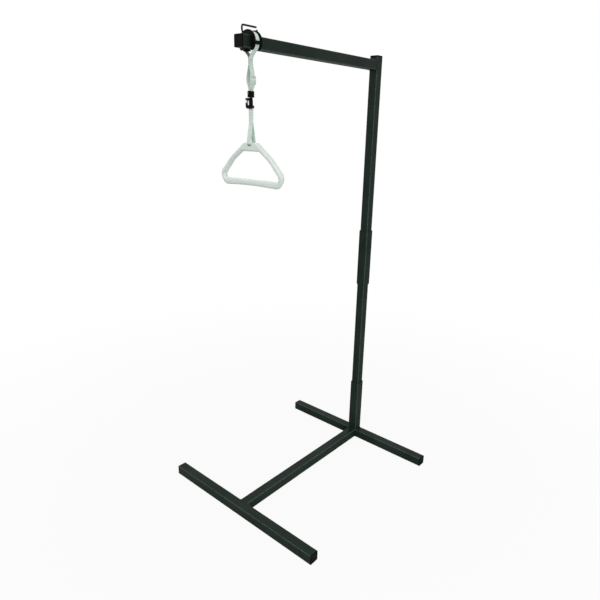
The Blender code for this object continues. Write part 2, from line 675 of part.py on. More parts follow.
def offset_path(path, distance):
    """A polyline moved sideways, to its left for a positive distance, with mitred corners."""
    moved = []
    for index, point in enumerate(path):
        back = (point - path[index - 1]).normalized() if index else None
        ahead = (path[index + 1] - point).normalized() if index + 1 < len(path) else None
        back = back or ahead
        ahead = ahead or back
        left_back = Vector((-back.y, back.x))
        left_ahead = Vector((-ahead.y, ahead.x))
        normal = (left_back + left_ahead).normalized()
        moved.append(point + normal * distance / max(normal.dot(left_back), 0.5))
    return moved


def arc_points(centre, radius, start, end, steps):
    angles = [start + (end - start) * step / steps for step in range(steps + 1)]
    return [Vector((centre[0] + radius * math.cos(a), centre[1] + radius * math.sin(a))) for a in angles]


def eased(start, end, steps):
    """Points between two places that leave and arrive straight up and down."""
    points = []
    for step in range(1, steps):
        share = step / steps
        swing = (1 - math.cos(math.pi * share)) / 2
        points.append(Vector((start.x + (end.x - start.x) * swing, start.y + (end.y - start.y) * share)))
    return points


def lower_loop_right():
    """The layer that weaves through the slider, from the stitching down to the pin loop."""
    half = WEBBING_THICKNESS / 2
    inside = SLIDER_X - WEAVE_OFFSET
    outside = SLIDER_X + WEAVE_OFFSET
    top = Vector((half, STITCH_END_Z))
    above = Vector((inside, SLIDER_Z + SLIDER_HALF_HEIGHT))
    below = Vector((inside, SLIDER_Z - SLIDER_HALF_HEIGHT))
    weave = [Vector((inside, SLIDER_Z + SLOT_CENTRE + WEAVE_OFFSET))]
    weave += [Vector((outside, SLIDER_Z + SLOT_CENTRE - WEAVE_OFFSET))]
    weave += [Vector((outside, SLIDER_Z - SLOT_CENTRE + WEAVE_OFFSET))]
    weave += [Vector((inside, SLIDER_Z - SLOT_CENTRE - WEAVE_OFFSET))]
    neck = Vector((half, HEAD_PIN_Z + NECK_REACH))
    return [top] + eased(top, above, 6) + [above] + weave + [below] + eased(below, neck, 4) + [neck]


def lower_loop_left():
    half = WEBBING_THICKNESS / 2
    top = Vector((-half, STITCH_END_Z))
    middle = Vector((-UPPER_BULGE, SLIDER_Z))
    neck = Vector((-half, HEAD_PIN_Z + NECK_REACH))
    return [top] + eased(top, middle, 6) + [middle] + eased(middle, neck, 5) + [neck]


def pin_loop(pin_z, downwards):
    """Half of the loop round a pin, on the right, from its neck to its far side."""
    rise = PIN_LOOP_RADIUS if downwards else -PIN_LOOP_RADIUS
    lean = math.radians(LOOP_LEAN)
    steps = 6
    angles = [lean - (lean + math.pi / 2) * step / steps for step in range(steps + 1)]
    return [Vector((PIN_LOOP_RADIUS * math.cos(a), pin_z + rise * math.sin(a))) for a in angles]


def mirrored(path):
    return [Vector((-point.x, point.y)) for point in path]


def upper_strap(joint):
    """One band over the saddle and down, sewn together, then round the head pin."""
    half = WEBBING_THICKNESS / 2
    over = arc_points((0.0, ARM_Z), LOOP_RADIUS, math.pi / 2, -LEG_ANGLE, 16)
    round_pin = pin_loop(HEAD_PIN_Z, True)
    right = over + [Vector((half, STITCH_TOP_Z))] + lower_loop_right() + round_pin
    left = mirrored(over) + [Vector((-half, STITCH_TOP_Z))] + lower_loop_left() + mirrored(round_pin)
    outer_right = offset_path(right, half)
    outer_left = offset_path(left, -half)
    outline = outer_right + list(reversed(outer_left[1:-1]))
    inner_over = offset_path(over + [Vector((half, STITCH_TOP_Z))], -half)[:-1]
    inner_over[0].x = 0.0
    apex = Vector((0.0, STITCH_TOP_Z + half / math.tan(LEG_ANGLE) / 2))
    saddle_hole = inner_over + [apex] + list(reversed(mirrored(inner_over[1:])))
    inner_right = offset_path(lower_loop_right(), -half)[1:-1]
    inner_left = offset_path(lower_loop_left(), half)[1:-1]
    start = Vector((0.0, STITCH_END_Z))
    end = Vector((0.0, HEAD_PIN_Z + NECK_REACH))
    slider_hole = [start] + inner_right + [end] + list(reversed(inner_left))
    inside_pin = offset_path(round_pin, -half)
    inside_pin[-1].x = 0.0
    crown = Vector((0.0, HEAD_PIN_Z + LOOP_CROWN * PIN_LOOP_RADIUS))
    pin_hole = [crown] + inside_pin + list(reversed(mirrored(inside_pin[:-1])))
    low = HANG_Y - WEBBING_WIDTH / 2
    high = HANG_Y + WEBBING_WIDTH / 2
    holes = [saddle_hole, slider_hole, pin_hole]
    strap = plate("upper_strap", WHITE_WEBBING, "Y", low, high, [outline] + holes)
    attach(strap, joint)


def strap_slider(joint):
    half_width = WEBBING_POCKET / 2 + SLIDER_SIDE
    frame = box_outline(-half_width, -SLIDER_HALF_HEIGHT, half_width, SLIDER_HALF_HEIGHT, SLIDER_CORNER)
    outlines = [shifted(frame, HANG_Y, SLIDER_Z)]
    for side in (-1, 1):
        low = side * SLOT_CENTRE - SLIDER_SLOT / 2
        slot = box_outline(-WEBBING_POCKET / 2, low, WEBBING_POCKET / 2, low + SLIDER_SLOT)
        outlines.append(shifted(slot, HANG_Y, SLIDER_Z))
    low = SLIDER_X - SLIDER_THICKNESS / 2
    slider = plate("strap_slider", WHITE_PLASTIC, "X", low, low + SLIDER_THICKNESS, outlines)
    attach(slider, joint)


# Swivel head

def swivel_head(joint):
    half_x = PIN_POCKET / 2 + HEAD_FACE
    half_y = WEBBING_POCKET / 2 + HEAD_WALL
    block = shifted(box_outline(-half_x, -half_y, half_x, half_y, HEAD_CORNER), 0.0, HANG_Y)
    head = plate("swivel_head", BLACK_PLASTIC, "Z", HEAD_BOTTOM_Z, HEAD_TOP_Z, [block], [HEAD_EDGE], 2)
    pocket = box_outline(-PIN_POCKET / 2, -WEBBING_POCKET / 2, PIN_POCKET / 2, WEBBING_POCKET / 2)
    pocket = shifted(pocket, 0.0, HANG_Y)
    cut(head, "head_pocket", "Z", HEAD_FLOOR_Z, HEAD_TOP_Z + HEAD_FLOOR, pocket)
    bore = circle_outline(0.0, HANG_Y, STUD_DIAMETER / 2 + SEAT_GAP, 24)
    cut(head, "head_bore", "Z", HEAD_BOTTOM_Z - HEAD_FLOOR, HEAD_FLOOR_Z + HEAD_FACE, bore)
    pin_bore = circle_outline(0.0, HEAD_PIN_Z, PIN_DIAMETER / 2 + SEAT_GAP, 16)
    reach = half_y + HEAD_FACE
    cut(head, "head_pin_bore", "Y", HANG_Y - reach, HANG_Y + reach, pin_bore)
    low = HANG_Y - half_y + PIN_END_INSET
    high = HANG_Y + half_y - PIN_END_INSET
    pin = rod("head_pin", BRIGHT_STEEL, "Y", low, high, 0.0, HEAD_PIN_Z, PIN_DIAMETER / 2, 16)
    for piece in (head, pin):
        attach(piece, joint)


# Hook

def hook_outline():
    """The C of the hook: belly, spine, shoulder over the mouth, and nose."""
    spine_in = HOOK_SPINE_INNER
    spine_out = HOOK_SPINE_OUTER
    nose_out = HOOK_NOSE_OUTER
    nose_in = HOOK_NOSE_OUTER + HOOK_NOSE_WIDTH
    foot = HOOK_FOOT_HEIGHT
    top = HOOK_HEIGHT - HOOK_TOP_DROP
    mouth = HOOK_MOUTH_ROUND
    tip = HOOK_NOSE_ROUND
    corners = [(nose_out, HOOK_BELLY_RISE, HOOK_BELLY_ROUND), (spine_out, HOOK_BELLY_RISE, mouth)]
    corners += [(spine_out, top, HOOK_SPINE_ROUND), (nose_out, top, HOOK_SHOULDER_ROUND)]
    corners += [(nose_out, HOOK_SHOULDER, tip), (spine_in, HOOK_SHOULDER, mouth), (spine_in, foot, mouth)]
    corners += [(nose_in, foot, mouth), (nose_in, HOOK_NOSE_TOP, tip), (nose_out, HOOK_NOSE_TOP, tip)]
    return rounded_outline(corners, 5)


def gate_slot_outline():
    """The space in the knuckle that the gate's hub and heel swing in."""
    low = HOOK_SHOULDER - GATE_SLOT_DEPTH
    left = GATE_PIN_X - GATE_HUB_DIAMETER / 2 - GATE_SLOT_ROOM
    return box_outline(left, low, GATE_SLOT_END, GATE_SLOT_TOP)


def swivel_hook(joint):
    front = HANG_Y - HOOK_PLATE / 2
    back = HANG_Y + HOOK_PLATE / 2
    outline = shifted(hook_outline(), 0.0, HOOK_Z)
    hook = plate("swivel_hook", BLACK_PLASTIC, "Y", front, back, [outline], [HOOK_EDGE], 2)
    foot_right = WEBBING_POCKET / 2 + HOOK_FOOT_WALL
    foot_left = -foot_right - HOOK_FOOT_HEEL
    half_depth = PIN_POCKET / 2 + HEAD_FACE
    foot = box_outline(foot_left, 0.0, foot_right, HOOK_FOOT_HEIGHT, HOOK_FOOT_ROUND, 5)
    foot = shifted(foot, 0.0, HOOK_Z)
    add(hook, "hook_foot", "Y", HANG_Y - half_depth, HANG_Y + half_depth, [foot], [HOOK_EDGE])
    boss = circle_outline(0.0, HANG_Y, HOOK_BOSS_DIAMETER / 2, 24)
    add(hook, "hook_boss", "Z", HOOK_TOP_Z - STUD_DEPTH - HOOK_BOSS_FLOOR, HOOK_TOP_Z, [boss])
    knuckle_left = HOOK_NOSE_OUTER + KNUCKLE_TUCK
    knuckle_right = GATE_SLOT_END + KNUCKLE_WALL
    knuckle_low = HOOK_SHOULDER + SEAT_GAP
    knuckle_high = HOOK_HEIGHT - KNUCKLE_TOP_DROP
    knuckle = box_outline(knuckle_left, knuckle_low, knuckle_right, knuckle_high, KNUCKLE_ROUND)
    knuckle = shifted(knuckle, 0.0, HOOK_Z)
    add(hook, "hook_knuckle", "Y", HANG_Y - KNUCKLE_DEPTH / 2, HANG_Y + KNUCKLE_DEPTH / 2, [knuckle])
    pocket = box_outline(-WEBBING_POCKET / 2, -PIN_POCKET / 2, WEBBING_POCKET / 2, PIN_POCKET / 2)
    pocket = shifted(pocket, 0.0, HANG_Y)
    pocket_top = STRAP_PIN_Z + PIN_LOOP_RADIUS + WEBBING_THICKNESS / 2 + LOOP_ROOM
    cut(hook, "hook_pocket", "Z", HOOK_Z - HOOK_FOOT_HEIGHT, pocket_top, pocket)
    pin_bore = circle_outline(HANG_Y, STRAP_PIN_Z, PIN_DIAMETER / 2 + SEAT_GAP, 16)
    cut(hook, "strap_pin_bore", "X", foot_left, foot_right + HEAD_FACE, pin_bore)
    slot = shifted(gate_slot_outline(), 0.0, HOOK_Z)
    slot_half = KNUCKLE_DEPTH / 2 - KNUCKLE_CHEEK
    cut(hook, "gate_slot", "Y", HANG_Y - slot_half, HANG_Y + slot_half, slot)
    gate_bore = circle_outline(GATE_PIN_X, GATE_PIN_Z, GATE_PIN_DIAMETER / 2 + SEAT_GAP, 16)
    cut(hook, "gate_pin_bore", "Y", HANG_Y - KNUCKLE_DEPTH, HANG_Y + KNUCKLE_DEPTH, gate_bore)
    stud_bore = circle_outline(0.0, HANG_Y, STUD_DIAMETER / 2 + SEAT_GAP, 24)
    cut(hook, "stud_bore", "Z", HOOK_TOP_Z - STUD_DEPTH, HOOK_TOP_Z + STUD_DEPTH, stud_bore)
    low = foot_left + SEAT_GAP
    high = foot_right - PIN_END_INSET
    strap_pin = rod("strap_pin", BRIGHT_STEEL, "X", low, high, HANG_Y, STRAP_PIN_Z, PIN_DIAMETER / 2, 16)
    low = HANG_Y - KNUCKLE_DEPTH / 2 + PIN_END_INSET
    high = HANG_Y + KNUCKLE_DEPTH / 2 - PIN_END_INSET
    radius = GATE_PIN_DIAMETER / 2
    gate_pin = rod("gate_pin", BRIGHT_STEEL, "Y", low, high, GATE_PIN_X, GATE_PIN_Z, radius, 16)
    for piece in (hook, strap_pin, gate_pin):
        attach(piece, joint)


def swivel_stud(joint):
    """The stud fixed in the hook, with its head turning on the floor of the swivel head."""
    low = HOOK_TOP_Z - STUD_DEPTH + SEAT_GAP
    head_low = HEAD_FLOOR_Z + SEAT_GAP
    stud = rod("swivel_stud", BRIGHT_STEEL, "Z", low, head_low + SEAT_GAP, 0.0, HANG_Y, STUD_DIAMETER / 2)
    head = circle_outline(0.0, HANG_Y, STUD_HEAD_DIAMETER / 2, 24)
    add(stud, "stud_head", "Z", head_low, head_low + STUD_HEAD_HEIGHT, [head])
    attach(stud, joint)


def hook_gate(joint):
    """A flat gate on a round hub, with a heel that the spring presses down."""
    slot_half = KNUCKLE_DEPTH / 2 - KNUCKLE_CHEEK - SEAT_GAP
    plate_left = HOOK_NOSE_OUTER + HOOK_NOSE_WIDTH + SEAT_GAP
    tip = HOOK_NOSE_TOP - GATE_OVERLAP
    hub = circle_outline(GATE_PIN_X, GATE_PIN_Z, GATE_HUB_DIAMETER / 2, 24)
    hole = circle_outline(GATE_PIN_X, GATE_PIN_Z, GATE_PIN_DIAMETER / 2 + SEAT_GAP, 16)
    front = HANG_Y - slot_half
    back = HANG_Y + slot_half
    gate = plate("hook_gate", BRIGHT_STEEL, "Y", front, back, [hub, hole])
    hole_reach = GATE_PIN_DIAMETER / 2 + GATE_HUB_WALL
    blade = box_outline(plate_left, tip, plate_left + GATE_THICKNESS, GATE_PIN_RISE - hole_reach)
    add(gate, "gate_blade", "Y", front, back, [shifted(blade, 0.0, HOOK_Z)])
    heel_low = GATE_PIN_RISE - GATE_HUB_DIAMETER / 2
    heel_left = GATE_PIN_X + hole_reach
    heel_right = SPRING_X + SPRING_COIL_DIAMETER / 2 + GATE_HEEL_OVERHANG
    heel = box_outline(heel_left, heel_low, heel_right, heel_low + GATE_HEEL_THICKNESS)
    add(gate, "gate_heel", "Y", front, back, [shifted(heel, 0.0, HOOK_Z)])
    attach(gate, joint)


def gate_spring(joint):
    """A small compression coil between the gate's heel and the top of the slot."""
    heel_top = GATE_PIN_RISE - GATE_HUB_DIAMETER / 2 + GATE_HEEL_THICKNESS
    low = HOOK_Z + heel_top + SEAT_GAP + SPRING_WIRE / 2
    high = HOOK_Z + GATE_SLOT_TOP - SEAT_GAP - SPRING_WIRE / 2
    radius = (SPRING_COIL_DIAMETER - SPRING_WIRE) / 2
    count = SPRING_TURNS * SPRING_POINTS_PER_TURN
    points = []
    for step in range(count + 1):
        angle = 2 * math.pi * step / SPRING_POINTS_PER_TURN
        z = low + (high - low) * step / count
        points.append((SPRING_X + radius * math.cos(angle), HANG_Y + radius * math.sin(angle), z))
    turn_gap = (high - low) / SPRING_TURNS - SPRING_WIRE
    print(f"gate spring: least gap between turns {turn_gap / MM:.2f} mm")
    spring = tube_along("gate_spring", BRIGHT_STEEL, points, SPRING_WIRE / 2, 1)
    attach(spring, joint)


# Lower strap and grip

def lower_strap(joint):
    """A loop round the strap pin, sewn together below it, then spread round the grip's top bar."""
    half = WEBBING_THICKNESS / 2
    bar_low = STRAP_PIN_Z - LOWER_STRAP
    spread = GRIP_DEPTH / 2 + SEAT_GAP + half
    sewn_end = STRAP_PIN_Z - LOWER_SEWN
    round_pin = pin_loop(STRAP_PIN_Z, False)
    neck = Vector((half, STRAP_PIN_Z - NECK_REACH))
    leave = Vector((half, sewn_end))
    beside = Vector((spread, bar_low + GRIP_TOP_BAR + LOWER_REST))
    corner = Vector((spread, bar_low - SEAT_GAP - half))
    turned = corner - Vector((LOWER_CHAMFER, 0.0))
    bottom = [corner + Vector((0.0, LOWER_CHAMFER)), turned]
    middle = Vector((0.0, corner.y))
    right = list(reversed(round_pin)) + [neck, leave, beside] + bottom + [middle]
    outer_right = offset_path(right, half)
    outline = outer_right + list(reversed(mirrored(outer_right[1:-1])))
    inside_pin = offset_path(list(reversed(round_pin)), -half)
    inside_pin[0].x = 0.0
    crown = Vector((0.0, STRAP_PIN_Z - LOOP_CROWN * PIN_LOOP_RADIUS))
    pin_hole = inside_pin + [crown] + list(reversed(mirrored(inside_pin[1:])))
    inner = offset_path([neck, leave, beside] + bottom + [middle], -half)[2:]
    start = Vector((0.0, sewn_end - 3 * half))
    grip_hole = [start] + inner + list(reversed(mirrored(inner[:-1])))
    outlines = [shifted(shape, HANG_Y, 0.0) for shape in (outline, pin_hole, grip_hole)]
    strap = plate("lower_strap", WHITE_WEBBING, "X", -WEBBING_WIDTH / 2, WEBBING_WIDTH / 2, outlines)
    attach(strap, joint)


def grip_side():
    """Where a side of the grip starts and which way it runs, before it bows out."""
    start = Vector((GRIP_TOP_WIDTH / 2, 0.0))
    end = Vector((GRIP_WIDTH / 2, -GRIP_SHOULDER_DROP))
    along = (end - start).normalized()
    outward = Vector((-along.y, along.x))
    bow = (start + end) / 2 + outward * GRIP_BOW
    return start, bow, end, outward


def grip_outer():
    start, bow, end, _ = grip_side()
    half_foot = GRIP_FOOT_WIDTH / 2
    right = [(half_foot, -GRIP_HEIGHT, GRIP_FOOT_ROUND), (end.x, end.y, GRIP_SHOULDER_ROUND)]
    right += [(bow.x, bow.y, GRIP_BOW_RADIUS), (start.x, start.y, GRIP_TOP_ROUND)]
    left = [(-u, v, radius) for u, v, radius in reversed(right)]
    shares = (0.5, 0.25, 0.0, -0.25, -0.5)
    arch = [(-half_foot * share, -GRIP_HEIGHT + GRIP_ARCH * (1 - share ** 2), 0.0) for share in shares]
    return rounded_outline(right + left + arch, 7)


def grip_opening():
    """The hand opening: bowed sides along the side bars and finger bumps on the hand bar."""
    start, bow, end, outward = grip_side()
    start = start - outward * GRIP_SIDE
    bow = bow - outward * GRIP_SIDE
    end = end - outward * GRIP_SIDE
    top = -(GRIP_TOP_BAR + GRIP_SLOT_HEIGHT + GRIP_BRIDGE)
    bottom = -GRIP_HEIGHT + GRIP_BAR
    top_half = start.x + (bow.x - start.x) * (top - start.y) / (bow.y - start.y)
    foot_half = bow.x + (end.x - bow.x) * (bottom - bow.y) / (end.y - bow.y) - GRIP_SIDE / 4
    right = [(foot_half, bottom, GRIP_OPENING_FOOT_ROUND), (bow.x, bow.y, GRIP_BOW_RADIUS)]
    right += [(top_half, top, GRIP_OPENING_TOP_ROUND)]
    left = [(-u, v, radius) for u, v, radius in reversed(right)]
    bumps = []
    span = FINGER_BUMPS * FINGER_PITCH
    samples = FINGER_BUMPS * POINTS_PER_BUMP
    for step in range(samples + 1):
        u = -span / 2 + span * step / samples
        rise = FINGER_RISE * (1 - math.cos(2 * math.pi * step / POINTS_PER_BUMP)) / 2
        bumps.append((u, bottom + rise, 0.0))
    return rounded_outline(right + left + bumps, 5)


def grip(joint):
    outer = grip_outer()
    opening = grip_opening()
    slot_half = WEBBING_WIDTH / 2 + GRIP_SLOT_SIDE_GAP
    slot_top = -GRIP_TOP_BAR
    slot = box_outline(-slot_half, slot_top - GRIP_SLOT_HEIGHT, slot_half, slot_top)
    outlines = [outer, opening, slot]
    outer_edge = []
    for point in outer:
        share = min(1.0, max(0.0, (-point.y - GRIP_TOP_BAR) / GRIP_EDGE_FADE))
        outer_edge.append(GRIP_TOP_EDGE + (GRIP_EDGE - GRIP_TOP_EDGE) * share)
    edges = [outer_edge, GRIP_EDGE, GRIP_SLOT_EDGE]
    placed = [shifted(outline, 0.0, GRIP_TOP_Z) for outline in outlines]
    low = HANG_Y - GRIP_DEPTH / 2
    piece = plate("grip_handle", WHITE_PLASTIC, "Y", low, low + GRIP_DEPTH, placed, edges)
    attach(piece, joint)


# The whole object

def build():
    clear_scene()
    mast_foot = make_joint("lower_mast_lift", (0.0, MAST_Y, FLOOR_PLATE + SEAT_GAP))
    mast_top = make_joint("upper_mast_lift", (0.0, MAST_Y, MAST_JOINT + SEAT_GAP), mast_foot)
    wire_turn = make_joint("retainer_turn", (0.0, WIRE_Y, ARM_Z), mast_top)
    saddle_slide = make_joint("saddle_slide", (0.0, HANG_Y, ARM_Z), mast_top)
    strap_swing = make_joint("upper_strap_swing", (0.0, HANG_Y, ARM_Z), saddle_slide)
    head_swing = make_joint("head_swing", (0.0, HANG_Y, HEAD_PIN_Z), strap_swing)
    hook_turn = make_joint("hook_swivel", (0.0, HANG_Y, HEAD_BOTTOM_Z), head_swing)
    gate_hinge = make_joint("gate_hinge", (GATE_PIN_X, HANG_Y, GATE_PIN_Z), hook_turn)
    grip_swing = make_joint("lower_strap_swing", (0.0, HANG_Y, STRAP_PIN_Z), hook_turn)
    floor_base()
    mast_sections(mast_foot, mast_top)
    arm_and_fittings(mast_top)
    retainer_wire(wire_turn)
    strap_saddle(saddle_slide)
    upper_strap(strap_swing)
    strap_slider(strap_swing)
    swivel_head(head_swing)
    swivel_hook(hook_turn)
    swivel_stud(hook_turn)
    gate_spring(hook_turn)
    hook_gate(gate_hinge)
    lower_strap(grip_swing)
    grip(grip_swing)


build()
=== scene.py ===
# Looks of a freestanding trapeze: an enamelled floor base, a mast and arm of square tube,
# and a white grip that hangs from the arm on webbing, a swivel head and a snap hook.
# Metres, +Z up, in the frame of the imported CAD. The arm points along -Y.

import json
import math

import bmesh
import bpy
from bpy.props import FloatProperty, FloatVectorProperty, PointerProperty
from mathutils import Matrix, Vector


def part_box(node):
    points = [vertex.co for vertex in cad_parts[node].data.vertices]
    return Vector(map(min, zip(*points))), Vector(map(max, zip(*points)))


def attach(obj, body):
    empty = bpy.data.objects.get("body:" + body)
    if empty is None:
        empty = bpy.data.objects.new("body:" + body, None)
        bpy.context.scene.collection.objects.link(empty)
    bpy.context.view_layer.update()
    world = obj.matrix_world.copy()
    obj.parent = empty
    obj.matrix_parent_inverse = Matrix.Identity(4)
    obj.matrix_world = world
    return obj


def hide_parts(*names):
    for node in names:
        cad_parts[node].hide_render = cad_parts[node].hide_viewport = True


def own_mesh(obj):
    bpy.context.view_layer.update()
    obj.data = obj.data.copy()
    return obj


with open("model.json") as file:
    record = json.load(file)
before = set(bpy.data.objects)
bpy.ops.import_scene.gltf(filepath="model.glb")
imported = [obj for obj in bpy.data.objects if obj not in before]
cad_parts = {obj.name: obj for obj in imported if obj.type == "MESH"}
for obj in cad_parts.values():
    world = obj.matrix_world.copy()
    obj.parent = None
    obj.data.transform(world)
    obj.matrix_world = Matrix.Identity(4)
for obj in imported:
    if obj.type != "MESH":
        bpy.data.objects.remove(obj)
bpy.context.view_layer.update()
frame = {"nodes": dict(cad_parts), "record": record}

bl_info = {
    "name": "Freestanding trapeze",
    "version": (1, 0, 0),
    "blender": (4, 5, 0),
    "location": "3D View > Sidebar > Trapeze",
    "description": "Models and finishes a freestanding trapeze round its packed frame",
    "category": "Object",
}

MM = 0.001
BODY_OF = {node: body for body, nodes in frame["record"]["behaviour"]["bodies"].items() for node in nodes}


def middle(node):
    low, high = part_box(node)
    return (low + high) / 2


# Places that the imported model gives
HANG_Y = middle("swivel_head").y
ARM_Z = middle("arm").z
MAST_Y = middle("upper_mast").y
HEAD_PIN_Z = middle("head_pin").z
STRAP_PIN_Z = middle("strap_pin").z
SLIDER = middle("strap_slider")
GRIP_TOP_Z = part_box("grip_handle")[1].z

SEAT_GAP = 0.3 * MM
OVERSHOOT = 5 * MM            # how far a hole's tool reaches past the face

# Leg plugs and tube caps: side, flange, edge radius, side of the dish and side of the stub
PLUG_WALL = 2 * MM
LEG_PLUG_FLANGE, CAP_FLANGE = 3 * MM, 5 * MM
LEG_PLUG = (40 * MM, LEG_PLUG_FLANGE, 0.8 * MM, 34 * MM, 35.4 * MM)
TUBE_CAP = (38 * MM, CAP_FLANGE, 1.2 * MM, 31 * MM, 33.4 * MM)
LEG_PLUG_STUB, MAST_CAP_STUB, ARM_CAP_STUB = 22 * MM, 22 * MM, 8 * MM
CAP_DISH = 0.5 * MM

# The retainer wire and the welds
WIRE_RADIUS = 3 * MM
WIRE_BEND = 7 * MM
WIRE_FROM_END = 14.9 * MM     # end of the arm tube to the wire's upright
WIRE_TOP_RUN = 59 * MM
WIRE_LOWER_RUN = 22 * MM
WIRE_STEP = 3.2 * MM
WIRE_STEP_LOW = ARM_Z + 24 * MM
WIRE_STEP_LENGTH = 10 * MM
WIRE_STEP_BEND = 8 * MM
WIRE_END_BACK, WIRE_END_RADIUS = 0.02, 0.82       # chamfered ends, as shares of a run and of the radius
WELD_PROUD = 0.2 * MM         # a bead's axis, out from the faces that it joins
WELD_FOOT = 3.4 * MM          # floor to the ends of the base's beads
WELD_TURN = 3 * MM
WELD_RIPPLE, WELD_END = 0.12, 0.35                # shares of a bead's radius
FRONT_WELD_DROP = 0.8 * MM    # top of the spine down to the bead at the front leg
COUPLER_WELD_OUT, COUPLER_WELD_TURN = 1.3 * MM, 4 * MM
ARM_WELD_IN, ARM_WELD_OUT = 0.6 * MM, 0.4 * MM    # in from the arm's sides, out from its top and foot

# The swivel head, its stud and the gate's spring
HEAD_FLOOR = 5.5 * MM
HEAD_PIN_RADIUS = 1.25 * MM
HEAD_POCKET = 6.9 * MM
STUD_RADIUS = 2.2 * MM
STUD_HEAD = 2.5 * MM
SPRING_WIRE = 0.3 * MM
SPRING_TURNS = 3

# The webbing's course
WEBBING_WIDTH = 19 * MM
WEBBING_LAYER = 1.6 * MM
# The webbing's edge: distance in from the selvedge, and the share of half its thickness there
SELVEDGE = ((0.0, 0.0), (0.25 * MM, 0.75), (0.7 * MM, 1.0), (1.6 * MM, 0.93))
LOOP_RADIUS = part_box("upper_strap")[1].z - ARM_Z - WEBBING_LAYER / 2
LEG_ANGLE = math.radians(47)
UPPER_STITCH = 13 * MM
UPPER_BULGE = 11 * MM
PIN_LOOP_RADIUS = 2.35 * MM
PIN_NECK = 2.6 * PIN_LOOP_RADIUS + WEBBING_LAYER
SLIDER_RAIL = 4 * MM
SLIDER_SLOT = 7.5 * MM
WEAVE_OFFSET = 2.6 * MM       # middle of the slider to the middle of the webbing beside it
STITCH_RADIUS = 0.3 * MM
STITCH_PITCH = 0.95 * MM
STITCHES = 18
STITCH_LEAN = 0.16            # radians
STITCH_DOME, STITCH_TIP = 0.25 * MM, 0.45         # height of a stitch's end, and the share of its radius
UPPER_TACKS = (0.1, 0.5, 0.9)                     # rows of stitches, as shares of the sewn length
LOWER_TACKS = (18 * MM, 24 * MM, 35 * MM, 50 * MM)    # strap pin down to each row of stitches
UPPER_TACK_HEIGHT, LOWER_TACK_HEIGHT = 2.2 * MM, 2.4 * MM
LOWER_STRAP = 117 * MM
LOWER_SEWN = 52 * MM
LOWER_SPREAD = 11.1 * MM
LOWER_BELLY = 0.9 * MM        # how far the lower strap's sides bow outwards
LOWER_CHAMFER = 1.2 * MM
LOWER_ABOVE_BAR = 1.5 * MM    # top of the grip's top bar to where the strap's sides turn upright
LOWER_WEAVE_START = 60 * MM   # strap pin down to where the weave is counted from
LEG_START = Vector((LOOP_RADIUS * math.cos(LEG_ANGLE), -LOOP_RADIUS * math.sin(LEG_ANGLE)))
LEG_DROP = (LEG_START.x - WEBBING_LAYER / 2) / math.tan(LEG_ANGLE)
STITCH_TOP_Z = ARM_Z + LEG_START.y - LEG_DROP
STITCH_END_Z = STITCH_TOP_Z - UPPER_STITCH

# The grip's outline
GRIP_HALF_TOP = 27.5 * MM
GRIP_HALF_WIDTH = 156 * MM
GRIP_HALF_FOOT = 130.5 * MM
GRIP_HEIGHT = 145.5 * MM
GRIP_SHOULDER_DROP = 106.5 * MM
GRIP_BOW = 8.5 * MM
GRIP_SIDE = 16 * MM
GRIP_BAR = 23.5 * MM
GRIP_TOP_BAR = 4.5 * MM
GRIP_SLOT_HEIGHT = 6.5 * MM
GRIP_BRIDGE = 17.5 * MM
GRIP_ARCH = 4 * MM
FOOT_ROUND, SHOULDER_ROUND, BOW_ROUND, TOP_ROUND = 25.5 * MM, 28 * MM, 160 * MM, 9.5 * MM
OPENING_FOOT_ROUND, OPENING_TOP_ROUND = 12 * MM, 6 * MM
SLOT_CLEARANCE, SLOT_ROUND = 1 * MM, 1.2 * MM
SLOT_EDGE, SLOT_EDGE_DEPTH = 1 * MM, 1.5 * MM
EDGE_FADE = 18 * MM           # over which the small edge beside the slot grows to the full one
FINGER_BUMPS = 8
FINGER_PITCH = 24 * MM
POINTS_PER_BUMP = 12
RIM_STEPS = 7
PARTING_HALF = 0.4 * MM       # middle of the parting line to either side of it

# The photo's camera, as fitted to its straight edges. Angles are in degrees.
CAMERA_PLACE = (1.3299, MAST_Y - 1.9954, 1.505)
CAMERA_YAW, CAMERA_PITCH, CAMERA_ROLL = 40.781, 18.097, 1.228

# Soft lamps: name, place, what it points at, side of its square, and the setting of its power
LAMPS = (
    ("lamp_overhead", (0.3, -1.9, 4.0), (0, 0, 0.9), 1.3, "key"),
    ("lamp_left", (-3.4, -2.0, 2.4), (0, 0, 1.0), 1.4, "fill"),
    ("lamp_right", (3.4, 0.9, 2.4), (0, 0, 1.0), 1.4, "fill"),
    ("lamp_low", (1.6, -0.9, 0.5), (0, 0.3, 0.1), 0.8, "low"),
)


def linear(code):
    """An sRGB hex colour as the linear values that Blender holds."""
    parts = [int(code[index:index + 2], 16) / 255 for index in (0, 2, 4)]
    return [part / 12.92 if part <= 0.04045 else ((part + 0.055) / 1.055) ** 2.4 for part in parts]


# Settings that a user would change

def length(name, description, millimetres, low=0.0, high=100.0):
    return FloatProperty(name=name, description=description, default=millimetres * MM, min=low * MM,
                         max=high * MM, subtype="DISTANCE", unit="LENGTH", precision=5)


def colour(name, description, code):
    return FloatVectorProperty(name=name, description=description, default=linear(code), min=0.0,
                               max=1.0, size=3, subtype="COLOR")


def strength(name, description, value, **kind):
    return FloatProperty(name=name, description=description, default=value, min=0.0, **kind)


